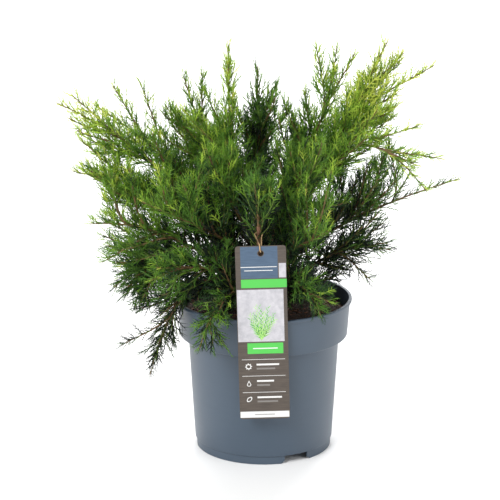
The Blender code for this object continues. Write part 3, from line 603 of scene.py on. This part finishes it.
def tubes(lines, sides, relief=0.0, seed=0):
    # tapering closed tubes along lines of (points, radii), all in one mesh
    verts, faces = [], []
    rng = random.Random(seed)
    for points, radii in lines:
        base = len(verts)
        count = len(points)
        bumps = [rng.uniform(0, 6.28) for k in range(4)]
        for index in range(count):
            ahead = points[min(index + 1, count - 1)] - points[max(index - 1, 0)]
            across, up = sideways(ahead / np.linalg.norm(ahead))
            for side in range(sides):
                turn = 2.0 * math.pi * side / sides
                rough = math.sin(3 * turn + bumps[0] + index * 0.9) * math.sin(index * 1.7 + bumps[1])
                rough += 0.6 * math.sin(5 * turn + bumps[2] - index * 0.6)
                out = across * math.cos(turn) + up * math.sin(turn)
                verts.append(points[index] + out * radii[index] * (1.0 + relief * rough))
        for index in range(count - 1):
            here, after = base + index * sides, base + (index + 1) * sides
            for side in range(sides):
                nextSide = (side + 1) % sides
                faces.append((here + side, after + side, after + nextSide, here + nextSide))
        faces.append(tuple(base + side for side in range(sides)))
        faces.append(tuple(base + (count - 1) * sides + side for side in range(sides - 1, -1, -1)))
    return verts, faces


# Bark

bark = dict(colour=(118, 78, 58), pale=(150, 112, 84), dark=(74, 48, 38), sides=12, relief=0.09)


def barkFinish():
    made = Finish("juniperBark", bark["colour"], 0.85)
    place = made.coords()
    strip = made.noise(made.stretched(place, (520.0, 520.0, 90.0)), 1.0, 4.0)
    patch = made.noise(place, 90.0, 3.0)
    tone = made.mix(patch, bark["dark"], bark["colour"])
    made.feed("Base Color", made.mix(strip * 0.8, tone, bark["pale"]))
    made.bump(strip, 0.7, 0.0006)
    return made.material


def makeBark(limbs):
    lines = []
    heights = np.linspace(0.0, trunk["top"], 40)
    taperHeights = [h * mm for h, r in trunk["taper"]]
    taperRadii = [r * mm for h, r in trunk["taper"]]
    trunkRadii = [np.interp(h, taperHeights, taperRadii) for h in heights]
    lines.append(([trunkAxis(h) for h in heights], trunkRadii))
    taper = limbSizes["stem"] + 0.2 * mm - limbSizes["bough"]
    nodes = ["trunk"]
    for limb in limbs:
        if limb["name"] in boughless:
            continue
        nodes.append("bough_" + limb["name"])
        shares = np.linspace(0.02, limb["bare"] + 0.015, 26)
        points = [pointAt(limb["course"], share)[0] for share in shares]
        radii = [limbSizes["bough"] + taper * share / limb["bare"] for share in shares]
        lines.append((points, radii))
    verts, faces = tubes(lines, bark["sides"], bark["relief"], 5)
    obj = meshObject("barkLimbs", verts, faces, barkFinish())
    tidyNormals(obj)
    handOver(obj, "bark", *nodes)
    print("bark made")


# Foliage

foliage = dict(
    seed=1904, branchPitch=4.7 * mm, branchAngle=38.0, sprayPitch=4.9 * mm, sprayAngle=32.0,
    sprayLength=24.0 * mm, cord=0.82 * mm, sizes=(0.60, 1.10), sideCords=5, innerStart=0.10,
    upright=0.55, hanging=0.10, widest=1.5, narrowest=0.18, fillTop=350.0 * mm,
    fillSpan=(185.0 * mm, 140.0 * mm), fillShares=(0.24, 0.34, 0.44, 0.54, 0.64, 0.74),
    fillLength=(48.0 * mm, 82.0 * mm), fillReach=20.0 * mm, fineReach=21.0 * mm, skirts=15,
    skirtFoot=(9.0 * mm, 24.0 * mm), skirtReach=(62, 88), skirtHeight=(176, 192),
    potMargin=1.2 * mm, labelMargin=3.0 * mm, cadMargin=4.0 * mm, mostTriangles=195000,
)
# the crown's middle and span, from which sprays are painted darker toward the middle, and the height below
# which they are painted darker still over a fade: painted shade
crown = dict(middle=np.array((0.0, 0.0, 0.19)), span=np.array((0.195, 0.15, 0.215)), low=0.26, fade=0.10)
# the two darkest tints, deepGreen and shadeGreen, are dealt mostly inside and under the crown, as painted
# shade
tints = dict(
    yellowTip=(200, 214, 88), freshGreen=(158, 190, 62), midGreen=(108, 150, 42), leafGreen=(76, 118, 36),
    deepGreen=(38, 70, 28), shadeGreen=(16, 32, 18),
)
tintOrder = tuple(tints)
brightLimbs = ("right_arch", "right_high", "tall_left")
# limbs painted darker all over, as painted shade where they sit in shadow inside, under or behind the crown
shadePaintedLimbs = ("right_far", "back", "back_low", "left_droop", "right_low", "centre", "skirt", "front")
laxLimbs = ("left_whip", "left_upper", "right_far")
drooping = -10.0


def clearOfPot(point):
    margin = foliage["potMargin"]
    radius = math.hypot(point[0], point[1])
    if point[2] > pot["rimHeight"] + margin:
        return True
    if radius > pot["rimRadius"] + margin:
        return point[2] > margin
    return radius < pot["collarRadius"] - pot["wall"] - margin and point[2] > soil["top"] + margin


def clearOfLabel(point):
    margin = foliage["labelMargin"]
    beside = abs(point[0] - card["topX"] - card["drift"]) > card["width"] / 2.0 + margin
    behind = point[1] > -pot["rimRadius"] + margin
    above = point[2] > card["topHeight"] + margin
    below = point[2] < card["topHeight"] - card["length"] - margin
    return beside or behind or above or below


def insideCad(point):
    margin = foliage["cadMargin"]
    sides = zip(cadBounds[0], point, cadBounds[1])
    return all(low - margin < value < high + margin for low, value, high in sides)


def hasRoom(points):
    return all(clearOfPot(p) and clearOfLabel(p) and insideCad(p) for p in points)


def leaning(along, turn, angle):
    # the way along a line, tilted off it by an angle at a turn round it
    across, up = sideways(along)
    return along * math.cos(angle) + (across * math.cos(turn) + up * math.sin(turn)) * math.sin(angle)


def branchlet(root, along, turn, angle, length, upright):
    # a gently curved side branch that lifts toward the light
    direction = leaning(along, turn, angle)
    tip = direction + np.array((0.0, 0.0, upright))
    tip *= length / np.linalg.norm(tip)
    leave = direction * length * 0.4
    return bezier(root, root + leave, root + tip - (tip - leave) * 0.35, root + tip, 4)


def sprayMesh(name, bend, seed):
    # a flat feathery spray: a knobbly cord with shorter cords off both sides, all scale-leaved
    rng = random.Random(seed)
    length, cord = foliage["sprayLength"], foliage["cord"]

    def spine(share):
        return np.array((bend * length * share * share, 0.12 * bend * length * share, length * share))

    lines = [([spine(t) for t in (0.0, 0.3, 0.66, 1.0)], [cord * r for r in (0.8, 1.0, 0.76, 0.12)])]
    for number in range(foliage["sideCords"]):
        share = 0.10 + 0.74 * (number + 0.3) / foliage["sideCords"]
        root = spine(share)
        hand = 1.0 if number % 2 else -1.0
        angle = math.radians(rng.uniform(32.0, 46.0))
        size = length * (0.52 - 0.24 * share) * rng.uniform(0.85, 1.15)
        way = np.array((hand * math.sin(angle), rng.uniform(-0.22, 0.22), math.cos(angle)))
        lines.append(([root, root + way * size], [cord * 0.84, cord * 0.10]))
    verts, faces = tubes(lines, 3)
    mesh = bpy.data.meshes.new(name)
    mesh.from_pydata([tuple(v) for v in verts], [], [tuple(f) for f in faces if len(f) > 3])
    bm = bmesh.new()
    bm.from_mesh(mesh)
    bmesh.ops.holes_fill(bm, edges=bm.edges, sides=3)
    bmesh.ops.recalc_face_normals(bm, faces=bm.faces)
    bmesh.ops.triangulate(bm, faces=bm.faces)
    bm.to_mesh(mesh)
    bm.free()
    return mesh


def tintOf(place, share, rng, limb, inner):
    # yellow-green tips and a green outside; darker toward the crown's middle, low down, on the inner sprays
    # and on the listed dull limbs, all painted shade
    outward = np.linalg.norm((place - crown["middle"]) / crown["span"])
    # painted shade under the crown: sprays below its low height are painted darker
    low = max(0.0, crown["low"] - place[2]) / crown["fade"]
    tone = 2.9 - 4.4 * (outward - 0.76) - 1.3 * (share - 0.5) + 0.9 * low + rng.gauss(0.0, 0.7)
    if inner:
        tone += 1.6
    if limb["name"] in brightLimbs:
        tone -= 0.5
    if limb["name"] in shadePaintedLimbs:
        tone += 0.9
    return tintOrder[int(np.clip(round(tone), 0, len(tintOrder) - 1))]


def growBranch(limb, branch, fullness, rng, crop, inner=False):
    # a twig with sprays off both its sides and one at its end
    length = runOf(branch)[-1]
    crop["twigs"].append((branch, np.linspace(0.75 * mm, 0.4 * mm, len(branch))))
    count = max(1, int(length * 0.86 / foliage["sprayPitch"] * (0.45 if inner else 1.0)))
    flat = rng.uniform(0.0, math.pi)
    for number in range(count + 1):
        share = 0.14 + 0.80 * number / count
        root, along = pointAt(branch, share)
        turn = flat + math.pi * (number % 2) + rng.uniform(-0.6, 0.6)
        angle = math.radians(foliage["sprayAngle"]) * rng.uniform(0.7, 1.2)
        direction = leaning(along, turn, angle * (1.0 if number < count else 0.12))
        direction[2] += uprightness(limb) * 0.3
        size = rng.uniform(*foliage["sizes"]) * (1.15 - 0.45 * share) * fullness
        tip = root + direction / np.linalg.norm(direction) * foliage["sprayLength"] * size
        if hasRoom([tip, (root + tip) / 2.0]):
            tint = tintOf(tip, share, rng, limb, inner)
            crop["spots"][tint].append((tuple(root), tuple(direction), rng.uniform(0, 6.28), size))


def fullnessOf(limb):
    return 0.75 + 0.25 * plumeWidths.get(limb["name"], 1.0)


def uprightness(limb):
    if limb["arrive"] < drooping:
        return foliage["hanging"]
    return foliage["upright"] * (0.45 if limb["name"] in laxLimbs else 1.0)


def growLine(limb, line, first, reach, rng, crop, inner=False):
    # side branches all round a stem, long at its foot and short at its tip
    run = runOf(line)[-1] * (1.0 - first)
    count = max(2, int(run / foliage["branchPitch"]))
    phase = rng.uniform(0.0, 6.28)
    for number in range(count):
        share = first + (0.98 - first) * (number + 0.3) / count
        root, along = pointAt(line, share)
        width = foliage["narrowest"] + foliage["widest"] * (1.0 - share) ** 0.9
        length = reach * (width if not inner else 1.0) * rng.uniform(0.65, 1.1)
        angle = math.radians(foliage["branchAngle"]) * rng.uniform(0.8, 1.2)
        angle *= 1.5 if inner else 1.0 - 0.3 * share
        fullness = (1.0 if inner else 1.0 - 0.36 * share) * fullnessOf(limb)
        for attempt in range(5):
            turn = phase + goldenAngle * number + attempt * 1.7
            made = branchlet(root, along, turn, angle, length, uprightness(limb))
            if hasRoom(made[2:]):
                growBranch(limb, made, fullness, rng, crop, inner)
                break
            length *= 0.85


def growStem(limb, line, thick, first, reach, tail, fullness, rng, crop):
    # a stem, the branches along it and the one that ends it
    crop["stems"].append((line, np.linspace(limbSizes["stem"] * thick, limbSizes["tip"], len(line))))
    growLine(limb, line, first, reach, rng, crop)
    growBranch(limb, line[-tail:], fullness, rng, crop)


def growFill(limb, rng, crop):
    # short upright shoots off each limb close the body of the crown below its whips
    hangs = limb["arrive"] < drooping
    for share in foliage["fillShares"]:
        root, along = pointAt(limb["course"], share + rng.uniform(-0.04, 0.04))
        length = rng.uniform(*foliage["fillLength"]) * (0.5 if hangs else 1.0)
        side = np.array((root[0], root[1], 0.0))
        out = side / max(np.linalg.norm(side), 1e-6)
        lean = out * rng.uniform(0.0, 0.5) + np.array((rng.uniform(-0.3, 0.3), rng.uniform(-0.3, 0.3), 1.0))
        if hangs and share > 0.5:
            lean = along + np.array((rng.uniform(-0.5, 0.5), rng.uniform(-0.5, 0.5), 0.1))
        tip = root + lean / np.linalg.norm(lean) * length
        if math.hypot(tip[0] / foliage["fillSpan"][0], tip[1] / foliage["fillSpan"][1]) > 1.0:
            continue
        if tip[2] > foliage["fillTop"] - 0.45 * max(0.0, -tip[0] - 80.0 * mm) or not hasRoom([tip]):
            continue
        shoot = bezier(root, root + (along + lean) * length * 0.2, tip - lean * length * 0.3, tip, 8)
        growStem(limb, shoot, 0.8, 0.05, foliage["fillReach"], 4, 0.9, rng, crop)


def growLimb(limb, rng, crop):
    name = limb["name"]
    bare = name not in boughless
    stem = stretch(limb["course"], limb["bare"] if bare else 0.10, limbEnds.get(name, 0.985), 12)
    reach = limb["spread"] * mm * plumeWidths.get(name, 1.0)
    growStem(limb, stem, 1.0, 0.0 if bare else 0.2, reach, 4, 0.55, rng, crop)
    for share, heading, far, height in shoots.get(name, ()):
        root, along = pointAt(stem, share)
        tip = polar(heading, far, height)
        handle = 0.35 * np.linalg.norm(tip - root)
        climb = (tip - root) / np.linalg.norm(tip - root)
        shoot = bezier(root, root + handle * (along + climb) / 2.0, tip - handle * climb, tip, 10)
        growStem(limb, shoot, 0.7, 0.10, reach * 0.6, 4, 0.55, rng, crop)
    if bare:
        bough = stretch(limb["course"], foliage["innerStart"], limb["bare"], 8)
        growLine(limb, bough, 0.0, reach * 0.8, rng, crop, inner=True)
    for share, heading, far, height in fineShoots.get(name, ()):
        growShoot(limb, limb["course"], share, polar(heading, far, height), rng, crop)
    growFill(limb, rng, crop)


def growShoot(limb, line, share, tip, rng, crop):
    # one slim shoot from a share of the line to a tip, where it has room
    root, along = pointAt(line, share)
    length = np.linalg.norm(tip - root)
    climb = (tip - root) / length
    arrive = (climb + (0.0, 0.0, 0.2)) * length * 0.3
    shoot = bezier(root, root + along * length * 0.3, tip - arrive, tip, 9)
    if hasRoom(shoot):
        growStem(limb, shoot, 0.75, 0.05, foliage["fineReach"], 3, 0.7, rng, crop)


def growSkirt(crop):
    # low shoots off the foot of the trunk, which hide the soil
    rng = random.Random(foliage["seed"] * 3)
    limb = dict(name="skirt", arrive=-12)
    for number in range(foliage["skirts"]):
        heading = 360.0 * (number + rng.uniform(-0.25, 0.25)) / foliage["skirts"]
        root = trunkAxis(rng.uniform(*foliage["skirtFoot"]))
        tip = polar(heading, rng.uniform(*foliage["skirtReach"]), rng.uniform(*foliage["skirtHeight"]))
        leave, arrive = toward(heading, 30.0) * 30.0 * mm, toward(heading, -6.0) * 26.0 * mm
        growShoot(limb, bezier(root, root + leave, tip - arrive, tip, 8), 0.08, tip, rng, crop)


def makeFoliage(limbs):
    crop = dict(spots={tint: [] for tint in tints}, twigs=[], stems=[])
    nodes = {tint: [] for tint in tints}
    for index, limb in enumerate(limbs):
        growLimb(limb, random.Random(foliage["seed"] + index), crop)
        nodes[tintOrder[index % len(tintOrder)]].append("foliage_" + limb["name"])
    growSkirt(crop)
    bends = (0.10, -0.08, 0.14, 0.05, -0.12, 0.08)
    templates = {tint: sprayMesh("spray" + tint, bend, number)
                 for number, (tint, bend) in enumerate(zip(tints, bends))}
    triangles = max(len(template.polygons) for template in templates.values())
    counts = {tint: len(found) for tint, found in crop["spots"].items()}
    print("sprays", counts, "triangles a spray", triangles, "in all", triangles * sum(counts.values()))
    most = foliage["mostTriangles"] // triangles
    for tint, colour in tints.items():
        found = crop["spots"][tint]
        for part in range(max(1, math.ceil(len(found) / most))):
            name = tint + "Sprays" + (str(part + 1) if part else "")
            growOnPoints(name, templates[tint], found[part * most:(part + 1) * most],
                         leafFinish(name, colour), "foliage", nodes[tint] if part == 0 else ())
    verts, faces = tubes(crop["twigs"], 3)
    handOver(meshObject("greenTwigs", verts, faces, leafFinish("greenTwig", (96, 116, 50))), "foliage")
    verts, faces = tubes(crop["stems"], 6, 0.05, 3)
    handOver(meshObject("brownStems", verts, faces, stemFinish()), "bark")
    print("foliage made")


def leafFinish(name, colour):
    made = Finish(name, colour, 0.55)
    made.shader.inputs["Specular IOR Level"].default_value = 0.35
    return made.material


def stemFinish():
    made = Finish("youngBark", (100, 70, 50), 0.7)
    place = made.coords()
    made.feed("Base Color", made.mix(made.noise(place, 120.0, 3.0), (80, 54, 40), (126, 104, 58)))
    made.bump(made.noise(made.stretched(place, (600.0, 600.0, 200.0)), 1.0, 3.0), 0.4, 0.0004)
    return made.material


# Label card, with a generic print

card = dict(width=52.0 * mm, length=187.0 * mm, thick=0.6 * mm, corner=3.0 * mm, topHeight=247.0 * mm,
            topX=-4.2 * mm, drift=2.5 * mm, turn=math.radians(1.6), hole=2.8 * mm, holeDrop=8.0 * mm,
            edge=0.05 * mm, ink=0.02 * mm)


def cardPlace():
    middle = -pot["rimRadius"] - 0.3 * mm - card["thick"] / 2.0
    return (Matrix.Translation((card["topX"], middle, card["topHeight"]))
            @ Matrix.Rotation(-card["turn"], 4, "Y") @ Matrix.Rotation(math.pi / 2.0, 4, "X"))


def roundedBox(left, right, top, bottom, corner, steps=6):
    # the outline of a box with rounded corners, anticlockwise
    line = []
    for x, y, first in ((right, top, 0), (left, top, 90), (left, bottom, 180), (right, bottom, 270)):
        cx = x - corner if x == right else x + corner
        cy = y - corner if y == top else y + corner
        for step in range(steps + 1):
            a = math.radians(first + 90.0 * step / steps)
            line.append((cx + corner * math.cos(a), cy + corner * math.sin(a)))
    return line


def turned(count):
    return [2.0 * math.pi * k / count for k in range(count)]


def flatPiece(name, outlines, thick, lift, material, nodes=(), bevel=0.0):
    # a flat outline with holes, given its thickness, laid on the card at a height above its middle
    curve = bpy.data.curves.new(name, "CURVE")
    curve.dimensions = "2D"
    curve.fill_mode = "BOTH"
    curve.extrude = thick / 2.0
    curve.bevel_depth = bevel
    curve.bevel_resolution = 2
    for points in outlines:
        spline = curve.splines.new("POLY")
        spline.points.add(len(points) - 1)
        for point, (x, y) in zip(spline.points, points):
            point.co = (x, y, 0.0, 1.0)
        spline.use_cyclic_u = True
    drawn = linked(name, curve)
    mesh = plainMesh(drawn)
    bpy.data.objects.remove(drawn, do_unlink=True)
    layer = mesh.uv_layers.new(name="print") if not mesh.uv_layers else mesh.uv_layers[0]
    for loop in mesh.loops:
        co = mesh.vertices[loop.vertex_index].co
        layer.data[loop.index].uv = (co.x / card["width"] + 0.5, 1.0 + co.y / card["length"])
    mesh.transform(cardPlace() @ Matrix.Translation((0.0, 0.0, lift)))
    mesh.materials.clear()
    mesh.materials.append(material)
    handOver(linked(name, mesh), "card", *nodes)


def woodPrint():
    made = Finish("woodPrint", (72, 64, 57), 0.42)
    uv = made.coords("UV")
    grain = made.noise(made.stretched(uv, (3.0, 90.0, 1.0)), 1.0, 5.0)
    fine = made.noise(made.stretched(uv, (6.0, 300.0, 1.0)), 1.0, 3.0)
    tone = made.mix(grain, (44, 39, 35), (100, 89, 79))
    made.feed("Base Color", made.mix(fine * 0.4, tone, (66, 58, 52)))
    return made.material


def palePrint():
    made = Finish("palePrint", (190, 188, 194), 0.45)
    uv = made.coords("UV")
    cloud = made.noise(made.stretched(uv, (7.0, 22.0, 1.0)), 1.0, 5.0, 0.7)
    made.feed("Base Color", made.mix(cloud, (132, 133, 142), (218, 215, 218)))
    return made.material


def slatePrint():
    made = Finish("slatePrint", (56, 78, 102), 0.42)
    uv = made.coords("UV")
    grain = made.noise(made.stretched(uv, (5.0, 120.0, 1.0)), 1.0, 4.0)
    made.feed("Base Color", made.mix(grain, (44, 64, 86), (82, 104, 128)))
    return made.material


def makeLabel():
    c = card
    half, length = c["width"] / 2.0, c["length"]
    hole = [(c["hole"] * math.cos(a), c["hole"] * math.sin(a) - c["holeDrop"]) for a in turned(32)]
    flatPiece("labelCard", [roundedBox(-half, half, 0.0, -length, c["corner"]), hole],
              c["thick"] - 2.0 * c["edge"], 0.0, woodPrint(), ("label_card",), c["edge"])
    green = Finish("greenPrint", (76, 184, 74), 0.42).material
    white = Finish("whitePrint", (216, 216, 214), 0.42).material
    grey = Finish("greyPrint", (120, 116, 112), 0.4).material
    slate, pale = slatePrint(), palePrint()
    ink = c["ink"]
    face = c["thick"] / 2.0 + ink

    def band(name, left, right, top, bottom, material, lift=0.0, holes=()):
        outline = [(half * right, -length * top), (half * left, -length * top),
                   (half * left, -length * bottom), (half * right, -length * bottom)]
        if top == 0.0:
            outline = roundedBox(half * left, half * right, 0.0, -length * bottom, 0.2 * mm, 2)
        flatPiece(name, [outline, *holes], ink, face + lift, material)

    bigHole = [(1.25 * x, 1.25 * (y + c["holeDrop"]) - c["holeDrop"]) for x, y in hole]
    band("printSlatePanel", -0.80, 0.66, 0.004, 0.185, slate, holes=(bigHole,))
    band("printGreenStrip", -0.80, 1.0, 0.190, 0.238, green)
    band("printPalePanel", -0.98, 0.86, 0.248, 0.548, pale)
    band("printPaleEdge", 0.70, 0.98, 0.100, 0.182, pale)
    band("printGreenFoot", -0.62, 0.80, 0.556, 0.618, green)
    band("printRuleA", -0.80, 0.62, 0.118, 0.122, white, ink)
    band("printRuleB", -0.66, 0.46, 0.138, 0.142, white, ink)
    band("printRuleC", -0.40, 0.58, 0.584, 0.590, white, ink)
    band("printBase", -0.98, 0.98, 0.956, 0.992, white)
    for number in range(3):
        top = 0.664 + 0.096 * number
        band("printIconRule%d" % (number + 1), -0.86, 0.86, top - 0.014, top - 0.0115, white)
        for line in range(2):
            right = (0.62, 0.40, 0.70)[number] - 0.16 * line
            band("printIconBar%d%d" % (number + 1, line + 1), -0.28, right, top + 0.012 + 0.024 * line,
                 top + 0.022 + 0.024 * line, white if line == 0 else grey)
        makeIcon(number, (-half * 0.60, -length * (top + 0.028)), face, white)
    band("printBaseRule", -0.40, 0.40, 0.972, 0.976, grey, ink)
    makePrintedSprig(face + ink)
    print("label made")


def makeIcon(number, centre, face, white):
    # a sun, a water drop and a plain leaf, each a small flat shape
    cx, cy = centre
    size = 3.6 * mm
    outline, inner = [], []
    if number == 0:
        for k, a in enumerate(turned(32)):
            r = size * (1.0 if k % 4 < 2 else 0.72)
            outline.append((cx + r * math.cos(a), cy + r * math.sin(a)))
        inner = [(cx + size * 0.5 * math.cos(a), cy + size * 0.5 * math.sin(a)) for a in turned(24)]
    for a in turned(40) if number == 1 else ():
        x = size * 0.78 * math.sin(a) * (0.5 - 0.5 * math.cos(a)) * 1.2
        y = size * 0.78 * math.cos(a) * 1.2
        outline.append((cx - x, cy + y - 0.1 * size))
        inner.append((cx - x * 0.66, cy + y * 0.66 - 0.22 * size))
    for a in turned(40) if number == 2 else ():
        x, y = size * math.cos(a), size * 0.62 * math.sin(a) * abs(math.sin(a)) ** 0.3
        u, v = (x - y) * 0.7071, (x + y) * 0.7071
        outline.append((cx + u, cy + v))
        inner.append((cx + u * 0.66, cy + v * 0.66))
    flatPiece("printIcon%d" % (number + 1), [outline, inner], card["ink"], face, white)


def makePrintedSprig(lift):
    # a plain drawn twig of slim leaflets, fanned from one foot, in two greens
    rng = random.Random(31)
    half, length = card["width"] / 2.0, card["length"]
    foot = np.array((-half * 0.05, -length * 0.540))
    for tone, colour in ((0, (112, 190, 84)), (1, (70, 150, 62)), (2, (166, 214, 120))):
        outlines = []
        for stalk in range(5):
            lean = math.radians(-30.0 + 14.0 * stalk + 4.0 * tone)
            reach = (43.0 - 26.0 * abs(lean)) * rng.uniform(0.75, 1.1) * mm
            along = np.array((math.sin(lean), math.cos(lean)))
            side = np.array((along[1], -along[0]))
            end = foot + along * reach
            outlines.append([tuple(foot - side * 0.3 * mm), tuple(foot + side * 0.3 * mm), tuple(end)])
            for leaf in range(12):
                share = 0.14 + 0.07 * leaf
                root = foot + along * reach * share
                hand = 1.0 if (leaf + tone) % 2 else -1.0
                turn = math.radians(34.0)
                way = along * math.cos(turn) + side * hand * math.sin(turn)
                square = np.array((way[1], -way[0]))
                size = rng.uniform(4.6, 8.0) * mm * (1.15 - 0.6 * share)
                tip = root + way * size
                if abs(tip[0]) < half * 0.8:
                    ends = (root - square * 0.5 * mm, root + square * 0.5 * mm, tip)
                    outlines.append([tuple(end) for end in ends])
        verts, faces = [], []
        low = lift + 0.01 * mm * tone
        for outline in outlines:
            base = len(verts)
            for height in (low, low + card["ink"]):
                verts += [(x, y, height) for x, y in outline]
            faces += [(base, base + 2, base + 1), (base + 3, base + 4, base + 5)]
            for side in range(3):
                after = (side + 1) % 3
                faces.append((base + side, base + after, base + 3 + after, base + 3 + side))
        place = cardPlace()
        verts = [tuple(place @ Vector(v)) for v in verts]
        ink = Finish("sprigInk%d" % tone, colour, 0.38).material
        made = meshObject("printSprig%d" % (tone + 1), verts, faces, ink, False)
        tidyNormals(made)
        handOver(made, "card")


def twineFinish():
    made = Finish("tanTwine", (176, 142, 100), 0.9)
    place = made.coords()
    twist = made.noise(made.stretched(place, (900.0, 900.0, 2400.0)), 1.0, 2.0)
    made.feed("Base Color", made.mix(twist, (142, 108, 70), (206, 176, 132)))
    made.bump(twist, 0.6, 0.0003)
    return made.material


def dressTie():
    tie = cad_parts["label_tie"]
    tie.data.materials.clear()
    tie.data.materials.append(twineFinish())


# Floor, light and camera

studio = dict(
    floorColour=(243, 243, 243), floorHalf=6.0, floorDrop=0.0002, worldLight=0.48,
    crownAim=(0.0, 0.0, 0.22), backdropAim=(0.0, 4.4, 0.0),
)


def makeStage():
    half, drop = studio["floorHalf"], -studio["floorDrop"]
    corners = [(-half, -half, drop), (half, -half, drop), (half, half, drop), (-half, half, drop)]
    paleFloor = Finish("paleFloor", studio["floorColour"], 0.9).material
    meshObject("floor", corners, [(0, 1, 2, 3)], paleFloor, False)
    world = bpy.data.worlds.new("studio")
    bpy.context.scene.world = world
    world.use_nodes = True
    world.node_tree.nodes["Background"].inputs[0].default_value = (1.0, 1.0, 1.0, 1.0)
    world.node_tree.nodes["Background"].inputs[1].default_value = studio["worldLight"]
    for name, place, aim, size, power in (
            ("keyLight", (-1.6, -2.2, 2.3), studio["crownAim"], 1.5, 108.0),
            ("fillLight", (2.2, -1.6, 1.4), studio["crownAim"], 1.8, 26.0),
            ("backLight", (0.4, 2.0, 2.2), studio["crownAim"], 1.6, 34.0),
            ("backdropLight", (0.0, 4.2, 3.4), studio["backdropAim"], 4.0, 300.0)):
        lamp = bpy.data.lights.new(name, "AREA")
        lamp.size = size
        lamp.energy = power
        obj = linked(name, lamp)
        obj.location = place
        obj.rotation_euler = (Vector(aim) - Vector(place)).to_track_quat("-Z", "Y").to_euler()


def makeCamera():
    view = dict(place=(-0.01473, -2.0, 0.7617), pitch=15.25, focalPixels=1936.4, frame=500.0)
    data = bpy.data.cameras.new("photoCamera")
    data.sensor_width = 36.0
    data.lens = view["focalPixels"] / view["frame"] * data.sensor_width
    obj = linked("photoCamera", data)
    obj.location = view["place"]
    obj.rotation_euler = (math.radians(90.0 - view["pitch"]), 0.0, 0.0)
    bpy.context.scene.camera = obj
    bpy.context.scene.view_settings.view_transform = "Standard"


limbs = [dict(zip(limbFields, row)) for row in limbTable]
for limb in limbs:
    limb["course"] = limbCourse(limb)
makeStage()
makeCamera()
makePot()
makeSoil()
makeBark(limbs)
makeFoliage(limbs)
makeLabel()
dressTie()
